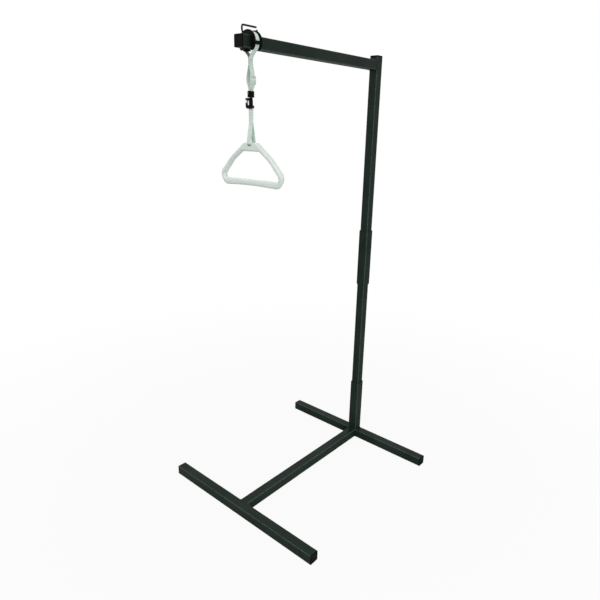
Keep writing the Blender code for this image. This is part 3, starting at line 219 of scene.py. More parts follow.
class TrapezeFrameSettings(bpy.types.PropertyGroup):
    paint: colour("Enamel", "Colour of the enamel on the tubes", "17261E")
    # The thin enamel's colour is partly a painted highlight along the tubes' corners; the specks use it too.
    paint_thin_and_highlight: colour("Thin enamel", "Colour of the thin enamel on the tubes' corners", "5C6A61")
    tube_wall: length("Tube wall", "Wall of the tubes at their open ends", 2.0, 0.5, 5)
    tube_corner: length("Tube corner", "Outer corner radius of the tubes", 3.0, 1, 6)
    rim: length("Rim", "Radius of the deburred ends of the tubes", 0.45, 0.1, 1)
    weld_radius: length("Weld", "Radius of the weld beads", 1.8, 1, 4)
    weld_pitch: length("Weld ripple", "Distance between the ripples of a weld bead", 2.3, 1, 5)


class TrapezeFittingSettings(bpy.types.PropertyGroup):
    plug: colour("Plugs", "Colour of the end plugs and caps", "070807")
    moulding: colour("Mouldings", "Colour of the saddle, the swivel head and the hook", "080A09")
    wire: colour("Black steel", "Colour of the blackened wire and pin", "1C1E1E")
    steel: colour("Bright steel", "Colour of the zinc-plated gate and pins", "B4B8B4")
    slider: colour("Slider", "Colour of the strap slider", "DCE2DA")
    dish: length("Dish", "Depth of the dished face of a leg plug", 1.0, 0.2, 2)


class TrapezeFabricSettings(bpy.types.PropertyGroup):
    webbing: colour("Webbing", "Colour of the webbing's crowns", "E4F2EA")
    # The valley colour is painted shade between the threads; the stains are a darker copy of it.
    valley: colour("Webbing valleys", "Colour between the webbing's threads", "C8DCD3")
    thread: colour("Thread", "Colour of the sewing thread", "DDE4DA")
    thickness: length("Thickness", "Thickness of one layer of webbing", 1.5, 0.8, 1.6)
    rib: length("Rib", "Width of one herringbone rib", 2.4, 1, 6)
    pick: length("Pick", "Distance between the threads along the webbing", 2.0, 0.5, 5)


class TrapezeGripSettings(bpy.types.PropertyGroup):
    plastic: colour("Grip", "Colour of the grip", "E5EFE9")
    edge: length("Edge", "How far the rounded edges reach in from the outline", 7.4, 2, 8)
    edge_depth: length("Edge depth", "How far the rounded edges reach back from the face", 8.0, 2, 9)
    top_edge: length("Top edge", "The same reach beside the strap slot", 1.8, 1, 4)
    parting: length("Parting line", "How far the mould's parting line stands out", 0.12, 0, 0.4)
    finger_rise: length("Finger bumps", "Height of the bumps on the hand bar", 1.2, 0, 3)


class TrapezeStageSettings(bpy.types.PropertyGroup):
    floor: colour("Floor", "Colour of the studio floor", "BCC0BD")
    key: strength("Key lamp", "Power of the large lamp overhead", 30.0, unit="POWER")
    fill: strength("Fill lamps", "Power of each lamp at the sides", 14.0, unit="POWER")
    low: strength("Low lamp", "Power of the lamp near the floor, beside the base", 9.0, unit="POWER")
    sky: strength("Sky", "Strength of the even light from all round", 0.62)
    focal: length("Lens", "Focal length of the camera", 31.283, 10, 200)


SETTINGS = {
    "trapeze_frame": TrapezeFrameSettings,
    "trapeze_fittings": TrapezeFittingSettings,
    "trapeze_fabric": TrapezeFabricSettings,
    "trapeze_grip": TrapezeGripSettings,
    "trapeze_stage": TrapezeStageSettings,
}


# Modelling helpers

def deselect():
    """Ends edit mode and leaves nothing selected, so that an operator acts on one piece alone."""
    if bpy.context.mode != "OBJECT":
        bpy.ops.object.mode_set(mode="OBJECT")
    bpy.ops.object.select_all(action="DESELECT")


def take(obj):
    deselect()
    obj.select_set(True)
    bpy.context.view_layer.objects.active = obj


def edit(obj):
    take(obj)
    bpy.ops.object.mode_set(mode="EDIT")


def settle(name):
    """Names the new primitive and puts its place into its mesh."""
    obj = bpy.context.object
    obj.name = name
    bpy.ops.object.transform_apply(location=True, rotation=True, scale=True)
    return obj


def block(name, low, high):
    deselect()
    low, high = Vector(low), Vector(high)
    bpy.ops.mesh.primitive_cube_add(size=1, location=(low + high) / 2, scale=high - low)
    return settle(name)


def rod(name, axis, radius, low, high, u, v, count=32):
    """A round bar along an axis; u and v are its other two coordinates, in XYZ order."""
    deselect()
    along = (low + high) / 2
    place = {"X": (along, u, v), "Y": (u, along, v), "Z": (u, v, along)}[axis]
    turn = {"X": (0, math.pi / 2, 0), "Y": (math.pi / 2, 0, 0), "Z": (0, 0, 0)}[axis]
    bpy.ops.mesh.primitive_cylinder_add(vertices=count, radius=radius, depth=high - low, location=place,
                                        rotation=turn)
    return settle(name)


def pick(obj, kind, test):
    """In edit mode, selects just the vertices, edges or faces that the test accepts."""
    bpy.ops.mesh.select_mode(type=kind)
    bpy.ops.mesh.select_all(action="DESELECT")
    mesh = bmesh.from_edit_mesh(obj.data)
    items = {"VERT": mesh.verts, "EDGE": mesh.edges, "FACE": mesh.faces}[kind]
    chosen = [item for item in items if test(item)]
    if not chosen:
        raise RuntimeError(f"{obj.name}: nothing to select")
    for item in chosen:
        item.select_set(True)
    mesh.select_flush_mode()
    bmesh.update_edit_mesh(obj.data)


def runs_along(axis):
    index = "XYZ".index(axis)
    return lambda edge: abs((edge.verts[1].co - edge.verts[0].co).normalized()[index]) > 0.99


def faces_to(direction):
    direction = Vector(direction)
    return lambda face: face.normal.dot(direction) > 0.99


def sharper_than(degrees):
    limit = math.radians(degrees)
    return lambda edge: len(edge.link_faces) == 2 and edge.calc_face_angle() > limit


def round_edges(obj, test, width, segments):
    edit(obj)
    pick(obj, "EDGE", test)
    bpy.ops.mesh.bevel(offset=width, segments=segments, affect="EDGES", clamp_overlap=True)
    deselect()


def apply_modifier(obj, kind, **settings):
    take(obj)
    modifier = obj.modifiers.new(kind.lower(), kind)
    for key, value in settings.items():
        setattr(modifier, key, value)
    bpy.ops.object.modifier_apply(modifier=modifier.name)


def join_shape(obj, tool, operation):
    apply_modifier(obj, "BOOLEAN", object=tool, operation=operation, solver="EXACT")
    bpy.data.objects.remove(tool)


def smooth(obj, degrees=35):
    """Shades the piece smooth up to an angle, with its large faces kept flat."""
    take(obj)
    bpy.ops.object.shade_smooth_by_angle(angle=math.radians(degrees))
    apply_modifier(obj, "WEIGHTED_NORMAL", keep_sharp=True)


def merge_points(obj, distance):
    """Starts edit mode, merges the points that are closer than a distance, and leaves all selected."""
    edit(obj)
    bpy.ops.mesh.select_all(action="SELECT")
    bpy.ops.mesh.remove_doubles(threshold=distance)


def linked(name, mesh):
    made = bpy.data.objects.new(name, mesh)
    bpy.context.scene.collection.objects.link(made)
    return made


def twin(obj, name, matrix):
    """A copy with its own mesh, moved by a matrix."""
    made = linked(name, obj.data.copy())
    made.data.transform(matrix)
    return made


def finished(obj, finish, *nodes, body=None):
    """Gives a piece its material, and the body of the CAD node that it replaces or,
    where it replaces none, the body that is named."""
    obj.data.materials.clear()
    obj.data.materials.append(material(finish))
    body = body or BODY_OF[nodes[0]]
    deselect()
    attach(obj, body)
    if nodes:
        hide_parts(*nodes)


def wire(name, points, radius, sides, closed=False, shares=None):
    """A round wire through points. Shares scale its radius at each point."""
    deselect()
    bpy.ops.curve.primitive_nurbs_path_add()
    obj = bpy.context.object
    curve = obj.data
    curve.splines.clear()
    spline = curve.splines.new("POLY")
    spline.points.add(len(points) - 1)
    for index, (item, point) in enumerate(zip(spline.points, points)):
        item.co = (*point, 1.0)
        item.radius = shares[index] if shares else 1.0
    spline.use_cyclic_u = closed
    curve.dimensions = "3D"
    curve.bevel_depth = radius
    curve.bevel_resolution = (sides - 4) // 2
    curve.use_fill_caps = not closed
    bpy.ops.object.convert(target="MESH")
    made = settle(name)
    merge_points(made, 0.01 * MM)
    bpy.ops.mesh.normals_make_consistent(inside=False)
    deselect()
    return made


def mirrored_corners(right):
    """An outline's corners on its right side, then the same ones on its left."""
    return right + [(-u, v, radius) for u, v, radius in reversed(right)]


def rounded_outline(corners, arc_steps):
    """A closed outline through corners given as (u, v, radius)."""
    points = []
    count = len(corners)
    for index, (u, v, radius) in enumerate(corners):
        here = Vector((u, v))
        if radius <= 0:
            points.append(here)
            continue
        before = Vector(corners[index - 1][:2]) - here
        after = Vector(corners[(index + 1) % count][:2]) - here
        room = 0.48 * min(before.length, after.length)
        before.normalize()
        after.normalize()
        half = before.angle(after) / 2
        radius = min(radius, room * math.tan(half))
        centre = here + (before + after).normalized() * radius / math.sin(half)
        start = here + before * radius / math.tan(half) - centre
        end = here + after * radius / math.tan(half) - centre
        turn = start.angle_signed(end)
        for step in range(arc_steps + 1):
            points.append(centre + Matrix.Rotation(-turn * step / arc_steps, 2) @ start)
    return points


def evened(path, closed, spacing):
    """The path again, with points at even distances along it, and each point's distance."""
    ring = path + path[:1] if closed else path
    lengths = [0.0]
    for a, b in zip(ring, ring[1:]):
        lengths.append(lengths[-1] + (b - a).length)
    count = max(4, round(lengths[-1] / spacing))
    points, places = [], []
    segment = 0
    for step in range(count if closed else count + 1):
        place = lengths[-1] * step / count
        while segment < len(ring) - 2 and lengths[segment + 1] < place:
            segment += 1
        span = lengths[segment + 1] - lengths[segment]
        share = (place - lengths[segment]) / span if span else 0.0
        points.append(ring[segment].lerp(ring[segment + 1], share))
        places.append(place)
    return points, places, lengths[-1]


def eased_corners(path, rounds):
    """A closed path with its corners cut off again and again, which turns it into a curve."""
    for _ in range(rounds):
        cut = []
        for a, b in zip(path, path[1:] + path[:1]):
            cut += [a.lerp(b, 0.25), a.lerp(b, 0.75)]
        path = cut
    return path


# Materials

# Sockets of a Mix node that mixes colours: the share, the two colours and the result
SHARE, FIRST, SECOND, MIXED = 0, 6, 7, 2


def add_node(tree, kind, result, inputs, **settings):
    """Adds a shader node with its settings, sets or links its inputs, given by name or in
    order, and returns the output that is asked for."""
    made = tree.nodes.new("ShaderNode" + kind)
    for key, value in settings.items():
        setattr(made, key, value)
    for key, value in inputs.items() if isinstance(inputs, dict) else enumerate(inputs):
        if isinstance(value, bpy.types.NodeSocket):
            tree.links.new(value, made.inputs[key])
        else:
            made.inputs[key].default_value = value
    return None if result is None else made.outputs[result]


def new_material(name, *noises):
    """An empty material, the piece's own coordinates, and a noise for each pair of a size in
    millimetres and a detail."""
    made = bpy.data.materials.new(name)
    made.use_nodes = True
    tree = made.node_tree
    tree.nodes.clear()
    place = add_node(tree, "TexCoord", "Object", {})
    fields = []
    for size, detail in noises:
        inputs = {"Vector": place, "Scale": 1 / (size * MM), "Detail": detail}
        fields.append(add_node(tree, "TexNoise", "Fac", inputs))
    return made, place, fields


def finish_surface(made, base, layers, gloss, bump, **constants):
    """Ends a material and returns it. A layer is a pattern, where it starts and ends, the
    colour's largest share there and the colour. The gloss is a pattern, where it starts and
    ends, and the roughness at both. The bump is a pattern and its height in millimetres.
    Plain numbers are on the shader's own sockets."""
    tree = made.node_tree
    for pattern, start, end, most, tone in layers:
        share = add_node(tree, "MapRange", "Result", [pattern, start, end, 0.0, most])
        base = add_node(tree, "Mix", MIXED, {SHARE: share, FIRST: base, SECOND: tone}, data_type="RGBA")
    inputs = {key.replace("_", " "): value for key, value in constants.items()}
    inputs["Base Color"] = base
    inputs["Roughness"] = add_node(tree, "MapRange", "Result", gloss)
    inputs["Normal"] = add_node(tree, "Bump", "Normal", {"Height": bump[0], "Distance": bump[1] * MM})
    shader = add_node(tree, "BsdfPrincipled", "BSDF", inputs)
    add_node(tree, "OutputMaterial", None, {"Surface": shader})
    return made


def solid(value):
    return (*value, 1.0)


def lighter(value, share):
    """The colour moved towards white by a share."""
    return solid([part + (1 - part) * share for part in value])


def darker(value, share):
    return solid([part * (1 - share) for part in value])


def satin_enamel(settings):
    """Stoved satin enamel on steel tube: nearly black green-grey, with the faint ripple of
    sprayed enamel, a few paler specks, and a paler colour on the tubes' corners, partly the
    thinner film there and partly a painted highlight."""
    noises = ((130, 2), (2.8, 2), (1.1, 1), (9, 2), (22, 2))
    made, _, (drift, ripple, speck, patch, sheen) = new_material("satin_stoved_enamel_on_steel", *noises)
    tree = made.node_tree
    thin = solid(settings.paint_thin_and_highlight)
    corner = add_node(tree, "Attribute", "Fac", {}, attribute_name="corner")
    # Paler on the corners: partly the thinner film, partly a painted highlight.
    thin_film_and_highlight = add_node(tree, "MapRange", "Result", [patch, 0.3, 0.7, 0.2, 0.75])
    thin_film_and_highlight = add_node(tree, "Math", "Value", [corner, thin_film_and_highlight], operation="MULTIPLY")
    layers = [(drift, 0.35, 0.65, 1.0, lighter(settings.paint, 0.006)), (speck, 0.64, 0.74, 0.16, thin),
              (thin_film_and_highlight, 0.0, 1.0, 1.0, thin)]
    return finish_surface(made, darker(settings.paint, 0.14), layers, [sheen, 0.3, 0.7, 0.34, 0.44],
                          (ripple, 0.06), IOR=1.5, Specular_IOR_Level=0.14)


def weld_enamel(settings):
    """The same enamel over a weld bead: it lies thicker there, so it is glossier and darker
    in the bead's valleys."""
    made, _, (lump,) = new_material("stoved_enamel_on_weld_bead", (1.6, 2))
    layers = [(lump, 0.35, 0.7, 1.0, lighter(settings.paint, 0.01))]
    return finish_surface(made, darker(settings.paint, 0.25), layers, [lump, 0.3, 0.7, 0.3, 0.42],
                          (lump, 0.1), IOR=1.5, Specular_IOR_Level=0.14)


def moulded_black(name, tone, grain, rough):
    """Black polyolefin or nylon from a mould: a fine spark-eroded grain, soft cloudy
    differences in gloss, and light handling scuffs."""
    made, place, (texture, cloud) = new_material(name, (grain, 3), (14, 2))
    tree = made.node_tree
    inputs = {"Vector": place, "Rotation": (0.3, 0.7, 0.5), "Scale": (1, 9, 1)}
    drawn = add_node(tree, "Mapping", "Vector", inputs)
    scuff = add_node(tree, "TexNoise", "Fac", {"Vector": drawn, "Scale": 1 / (7 * MM), "Detail": 4.0})
    layers = [(cloud, 0.35, 0.65, 1.0, lighter(tone, 0.004)), (scuff, 0.66, 0.74, 0.3, lighter(tone, 0.04))]
    return finish_surface(made, darker(tone, 0.15), layers, [cloud, 0.3, 0.7, rough - 0.06, rough + 0.06],
                          (texture, 0.035), IOR=1.5, Specular_IOR_Level=0.05)


def blackened_steel(settings):
    """Bent steel rod, blackened and oiled: a dark metal with a soft, cloudy gloss and the
    fine tooth of the blackening."""
    made, _, (cloud, fine) = new_material("blackened_drawn_steel_rod", (6, 2), (0.8, 3))
    layers = [(cloud, 0.0, 1.0, 1.0, lighter(settings.wire, 0.05))]
    return finish_surface(made, darker(settings.wire, 0.3), layers, [cloud, 0.3, 0.7, 0.3, 0.48],
                          (fine, 0.02), Metallic=1.0)


def zinc_plated_steel(settings):
    """Bright zinc-plated steel, pressed and turned: pale and slightly cloudy, with the small
    crystals of the plating."""
    made, place, (cloud,) = new_material("bright_zinc_plated_steel", (5, 2))
    inputs = {"Vector": place, "Scale": 1 / (0.9 * MM)}
    crystal = add_node(made.node_tree, "TexVoronoi", "Distance", inputs)
    layers = [(cloud, 0.3, 0.7, 1.0, solid(settings.steel))]
    return finish_surface(made, darker(settings.steel, 0.12), layers, [cloud, 0.3, 0.7, 0.24, 0.4],
                          (crystal, 0.01), Metallic=1.0)


def moulded_white(name, tone, grime):
    """Injection-moulded white polypropylene or acetal: soft and waxy, slightly translucent,
    with a very fine matt grain and a little handling grey."""
    made, _, (cloud, grain, touch) = new_material(name, (40, 2), (0.7, 3), (11, 3))
    layers = [(cloud, 0.35, 0.65, 1.0, solid(tone)), (touch, 0.56, 0.72, grime, darker(tone, 0.3))]
    return finish_surface(made, darker(tone, 0.035), layers, [touch, 0.3, 0.7, 0.38, 0.5], (grain, 0.03),
                          IOR=1.49, Subsurface_Weight=0.12, Subsurface_Scale=3 * MM,
                          Subsurface_Radius=(1.0, 0.95, 0.9))


def woven_webbing(settings):
    """Narrow-woven polyester webbing in a herringbone: ribs of slanted threads that turn at
    each valley. The ribs are drawn about twice as coarse as real ones, or they wouldn't show.
    The colour darkens from the threads' crowns into the valleys between them: painted shade."""
    made, _, (fibre, stain) = new_material("herringbone_polyester_webbing", (0.5, 3), (16, 3))
    tree = made.node_tree
    along = add_node(tree, "Attribute", "Fac", {}, attribute_name="along")
    across = add_node(tree, "Attribute", "Fac", {}, attribute_name="across")
    rib = add_node(tree, "Math", "Value", [across, settings.rib], operation="DIVIDE")
    slant = add_node(tree, "Math", "Value", [rib, 1.0], operation="PINGPONG")
    thread, crown = along, rib
    steps = (("MULTIPLY_ADD", 1 / settings.pick, slant), ("MULTIPLY", 2 * math.pi), ("SINE",))
    for operation, *values in steps:
        thread = add_node(tree, "Math", "Value", [thread, *values], operation=operation)
    for operation, *values in (("MULTIPLY", math.pi), ("SINE",), ("ABSOLUTE",), ("POWER", 0.5)):
        crown = add_node(tree, "Math", "Value", [crown, *values], operation=operation)
    thread = add_node(tree, "MapRange", "Result", [thread, -1.0, 1.0, 0.35, 1.0])
    crown = add_node(tree, "MapRange", "Result", [crown, 0.0, 1.0, 0.45, 1.0])
    height = add_node(tree, "Math", "Value", [thread, crown], operation="MULTIPLY")
    height = add_node(tree, "Math", "Value", [fibre, 0.25, height], operation="MULTIPLY_ADD")
    # From the valley colour at the low places to the crown colour at the high ones: painted shade.
    layers = [(height, 0.15, 0.85, 1.0, solid(settings.webbing)),
              (stain, 0.45, 0.75, 0.2, darker(settings.valley, 0.2))]
    return finish_surface(made, solid(settings.valley), layers, [fibre, 0.3, 0.7, 0.78, 0.92],
                          (height, 0.28), IOR=1.46, Sheen_Weight=0.25, Sheen_Roughness=0.45)


def sewing_thread(settings):
    """Bonded polyester thread: pale, slightly silky, with its twist as fine slanting bands,
    darker in the twist's grooves as painted shade.
    """
    made, place, _ = new_material("bonded_polyester_thread")
    inputs = {"Vector": place, "Scale": 1 / (5 * MM), "Distortion": 0.5}
    twist = add_node(made.node_tree, "TexWave", "Fac", inputs, bands_direction="DIAGONAL")
    # The darker part of each band is painted shade in the twist's grooves.
    layers = [(twist, 0.0, 1.0, 1.0, solid(settings.thread))]
    return finish_surface(made, darker(settings.thread, 0.18), layers, [twist, 0.0, 1.0, 0.55, 0.7],
                          (twist, 0.05), IOR=1.5, Sheen_Weight=0.15)


# The slot of each material
MATERIALS = {}


def material(name):
    """Makes each material once, from the settings, when the first piece asks for it."""
    scene = bpy.context.scene
    fittings, fabric = scene.trapeze_fittings, scene.trapeze_fabric
    makers = {
        "enamel": (satin_enamel, scene.trapeze_frame),
        "weld": (weld_enamel, scene.trapeze_frame),
        "plug": (moulded_black, "moulded_black_polyethylene", fittings.plug, 0.7, 0.5),
        "moulding": (moulded_black, "moulded_black_nylon", fittings.moulding, 0.5, 0.4),
        "wire": (blackened_steel, fittings),
        "steel": (zinc_plated_steel, fittings),
        "slider": (moulded_white, "moulded_white_acetal", fittings.slider, 0.2),
        "grip": (moulded_white, "moulded_white_polypropylene", scene.trapeze_grip.plastic, 0.12),
        "webbing": (woven_webbing, fabric),
        "thread": (sewing_thread, fabric),
    }
    if name not in MATERIALS:
        maker, *values = makers[name]
        MATERIALS[name] = maker(*values)
    return MATERIALS[name]


# Tubes and welds

def mark_corners(obj, axis, centre):
    """Writes how near each point is to a corner of the tube, for the thin enamel and the painted highlight
    there.
    """
    others = [index for index in range(3) if "XYZ"[index] != axis]
    spread = [sum(abs(vert.co[index] - centre[index]) for index in others) for vert in obj.data.vertices]
    widest = max(spread)
    # From the start of a rounded corner to its middle, the sum grows by this share of the radius
    arc = 0.414 * bpy.context.scene.trapeze_frame.tube_corner
    layer = obj.data.attributes.new("corner", "FLOAT", "POINT")
    for index, value in enumerate(spread):
        layer.data[index].value = max(0.0, 1 - (widest - value) / arc)


def square_tube(node, axis):
    """A hollow square tube in the CAD node's place, with drawn corners and deburred ends."""
    settings = bpy.context.scene.trapeze_frame
    low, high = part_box(node)
    index = "XYZ".index(axis)
    obj = block(node + "_tube", low, high)
    edit(obj)
    pick(obj, "EDGE", runs_along(axis))
    bpy.ops.mesh.bevel(offset=settings.tube_corner, segments=6, affect="EDGES")
    pick(obj, "FACE", lambda face: abs(face.normal[index]) > 0.99)
    bpy.ops.mesh.inset(thickness=settings.tube_wall, use_even_offset=True)
    bpy.ops.mesh.bridge_edge_loops()
    pick(obj, "EDGE", sharper_than(60))
    bpy.ops.mesh.bevel(offset=settings.rim, segments=2, affect="EDGES")
    deselect()
    return obj


def enamelled(obj, axis, node):
    smooth(obj)
    mark_corners(obj, axis, middle(node))
    finished(obj, "enamel", node)


def weld_bead(name, body, corners, place, arc_steps=4, closed=False):
    """A rippled bead of weld round a tube. Its outline is the same on both sides, and a
    function puts its points in their place."""
    settings = bpy.context.scene.trapeze_frame
    outline = rounded_outline(mirrored_corners(corners), arc_steps)
    path = [Vector(place(point.x, point.y)) for point in outline]
    path, places, whole = evened(path, closed, settings.weld_pitch / 4)
    ripples = round(whole / settings.weld_pitch) if closed else whole / settings.weld_pitch
    shares = []
    for distance in places:
        share = 1 + WELD_RIPPLE * math.cos(2 * math.pi * ripples * distance / whole)
        end = whole if closed else min(distance, whole - distance)
        shares.append(share * min(1.0, WELD_END + end / (2 * settings.weld_radius)))
    obj = wire(name, path, settings.weld_radius, 10, closed, shares)
    smooth(obj, 60)
    finished(obj, "weld", body=body)


class TRAPEZE_OT_floor_base(bpy.types.Operator):
    """Models the tubes of the floor base and their welds, and enamels the plate in the socket"""
    bl_idname = "trapeze.floor_base"
    bl_label = "Floor base"

    def execute(self, context):
        for node, axis in (("front_leg", "X"), ("rear_leg_left", "X"), ("rear_leg_right", "X"),
                           ("spine_tube", "Y"), ("mast_socket", "Z")):
            enamelled(square_tube(node, axis), axis, node)
        plate = frame["nodes"]["socket_floor_plate"]
        plate.data.materials.clear()
        plate.data.materials.append(material("enamel"))
        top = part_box("spine_tube")[1]
        side = top.x + WELD_PROUD
        front_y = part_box("front_leg")[1].y + WELD_PROUD
        back_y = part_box("mast_socket")[0].y - WELD_PROUD
        side_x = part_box("mast_socket")[1].x + WELD_PROUD
        over = top.z + SEAT_GAP
        beads = (("spine_to_front_leg", top.z - FRONT_WELD_DROP, lambda u, z: (u, front_y, z)),
                 ("spine_to_socket", over, lambda u, z: (u, back_y, z)),
                 ("rear_leg_left", over, lambda u, z: (-side_x, MAST_Y + u, z)),
                 ("rear_leg_right", over, lambda u, z: (side_x, MAST_Y + u, z)))
        for name, high, place in beads:
            weld_bead("weld_" + name, "base", [(side, WELD_FOOT, 0), (side, high, WELD_TURN)], place)
        return {"FINISHED"}


class TRAPEZE_OT_mast(bpy.types.Operator):
    """Models the two mast tubes, the coupler sleeve and its weld"""
    bl_idname = "trapeze.mast"
    bl_label = "Mast"

    def execute(self, context):
        for node in ("lower_mast", "coupler_sleeve", "upper_mast"):
            enamelled(square_tube(node, "Z"), "Z", node)
        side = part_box("lower_mast")[1].x + COUPLER_WELD_OUT
        low_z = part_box("coupler_sleeve")[0].z - SEAT_GAP
        corners = [(side, -side, COUPLER_WELD_TURN), (side, side, COUPLER_WELD_TURN)]
        weld_bead("weld_coupler_sleeve", "mast_lower", corners, lambda x, v: (x, MAST_Y + v, low_z), 5, True)
        return {"FINISHED"}


class TRAPEZE_OT_arm(bpy.types.Operator):
    """Models the arm tube with the holes for its wire and stop pin, and its weld to the mast"""
    bl_idname = "trapeze.arm"
    bl_label = "Arm"

    def execute(self, context):
        arm = square_tube("arm", "Y")
        low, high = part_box("arm")
        above = high.z + OVERSHOOT
        holes = ((low.z - OVERSHOOT, low.y + WIRE_FROM_END), (ARM_Z, middle("rear_stop_pin").y))
        for bottom, y in holes:
            join_shape(arm, rod("hole", "Z", WIRE_RADIUS + SEAT_GAP, bottom, above, 0, y), "DIFFERENCE")
        enamelled(arm, "Y", "arm")
        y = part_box("upper_mast")[0].y - SEAT_GAP
        side, rise = high.x - ARM_WELD_IN, high.x + ARM_WELD_OUT
        corners = [(side, -rise, WELD_TURN), (side, rise, WELD_TURN)]
        weld_bead("weld_arm_to_mast", "mast_upper", corners, lambda x, v: (x, y, ARM_Z + v), closed=True)
        return {"FINISHED"}


# Plugs and caps

def rounded_block(name, low, high, axis, corner, segments=6):
    obj = block(name, low, high)
    round_edges(obj, runs_along(axis), corner, segments)
    return obj


def centred(half, low, high):
    """Opposite corners of a square box round the Z axis."""
    return (-half, -half, low), (half, half, high)


def plug_shape(name, sizes, dish, stub):
    """A moulded plug whose dished flange looks up from the origin and whose hollow stub points down."""
    side, flange, edge, dish_side, stub_side = sizes
    obj = rounded_block(name, *centred(side / 2, 0, flange), "Z", 3 * MM)
    round_edges(obj, lambda item: sharper_than(60)(item) and item.verts[0].co.z > flange / 2, edge, 4)
    inner = stub_side / 2
    join_shape(obj, rounded_block("stub", *centred(inner, -stub, flange / 3), "Z", 1.5 * MM, 3), "UNION")
    hollow = rounded_block("hollow", *centred(inner - PLUG_WALL, -stub - MM, -MM), "Z", MM, 2)
    join_shape(obj, hollow, "DIFFERENCE")
    tool = rounded_block("dish", *centred(dish_side / 2, flange - dish, flange + 4 * MM), "Z", 2.4 * MM)
    round_edges(tool, lambda item: sharper_than(60)(item) and item.verts[0].co.z < flange, dish * 0.9, 3)
    join_shape(obj, tool, "DIFFERENCE")
    return obj


class TRAPEZE_OT_plugs(bpy.types.Operator):
    """Models one leg plug, copies it to the four leg ends, and models the caps of the mast and the arm"""
    bl_idname = "trapeze.plugs"
    bl_label = "Plugs and caps"

    def execute(self, context):
        plug = plug_shape("leg_plug", LEG_PLUG, context.scene.trapeze_fittings.dish, LEG_PLUG_STUB)
        smooth(plug)
        for row in ("front", "rear"):
            for side, word in ((-1, "left"), (1, "right")):
                node = f"{row}_plug_{word}"
                place = middle(node)
                place.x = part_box(node)[(side + 1) // 2].x - side * LEG_PLUG_FLANGE
                turn = Matrix.Rotation(side * math.pi / 2, 4, "Y")
                made = twin(plug, node + "_moulding", Matrix.Translation(place) @ turn)
                finished(made, "plug", node)
        bpy.data.objects.remove(plug)
        top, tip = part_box("mast_cap")[1].z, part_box("arm_end_cap")[0].y
        outward = Matrix.Rotation(math.pi / 2, 4, "X")
        caps = (("mast_cap", MAST_CAP_STUB, Matrix.Translation((0, MAST_Y, top - CAP_FLANGE))),
                ("arm_end_cap", ARM_CAP_STUB, Matrix.Translation((0, tip + CAP_FLANGE, ARM_Z)) @ outward))
        for node, stub, place in caps:
            cap = plug_shape(node + "_moulding", TUBE_CAP, CAP_DISH, stub)
            cap.data.transform(place)
            smooth(cap)
            finished(cap, "plug", node)
        return {"FINISHED"}


# Wire and pins

class TRAPEZE_OT_wire(bpy.types.Operator):
    """Models the bent retainer wire and the stop pin behind the saddle"""
    bl_idname = "trapeze.wire"
    bl_label = "Retainer wire and stop pin"

    def execute(self, context):
        low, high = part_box("retainer_wire")
        top_z, low_z = high.z - WIRE_RADIUS, low.z + WIRE_RADIUS
        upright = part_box("arm")[0].y + WIRE_FROM_END
        step_y = upright - WIRE_STEP
        corners = [(upright + WIRE_LOWER_RUN, low_z, 0), (upright, low_z, WIRE_BEND),
                   (upright, WIRE_STEP_LOW, WIRE_STEP_BEND),
                   (step_y, WIRE_STEP_LOW + WIRE_STEP_LENGTH, WIRE_STEP_BEND),
                   (step_y, top_z, WIRE_BEND), (upright + WIRE_TOP_RUN, top_z, 0)]
        path = [Vector((0, point.x, point.y)) for point in rounded_outline(corners, 10)]
        ends = [path[0].lerp(path[1], WIRE_END_BACK), path[-1].lerp(path[-2], WIRE_END_BACK)]
        path = [path[0], ends[0]] + path[1:-1] + [ends[1], path[-1]]
        shares = [WIRE_END_RADIUS] + [1.0] * (len(path) - 2) + [WIRE_END_RADIUS]
        obj = wire("retainer_wire_rod", path, WIRE_RADIUS, 20, False, shares)
        smooth(obj, 40)
        finished(obj, "wire", "retainer_wire")
        low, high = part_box("rear_stop_pin")
        pin = rod("rear_stop_pin_rod", "Z", WIRE_RADIUS, low.z, high.z, 0, middle("rear_stop_pin").y)
        round_edges(pin, sharper_than(60), 0.7 * MM, 2)
        smooth(pin)
        finished(pin, "wire", "rear_stop_pin")
        return {"FINISHED"}


def steel_pin(node, axis):
    low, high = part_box(node)
    centre = (low + high) / 2
    index = "XYZ".index(axis)
    u, v = [centre[other] for other in range(3) if other != index]
    radius = (high - low)[(index + 1) % 3] / 2
    obj = rod(node + "_turned", axis, radius, low[index], high[index], u, v, 24)
    round_edges(obj, sharper_than(60), 0.3 * MM, 2)
    smooth(obj)
    finished(obj, "steel", node)


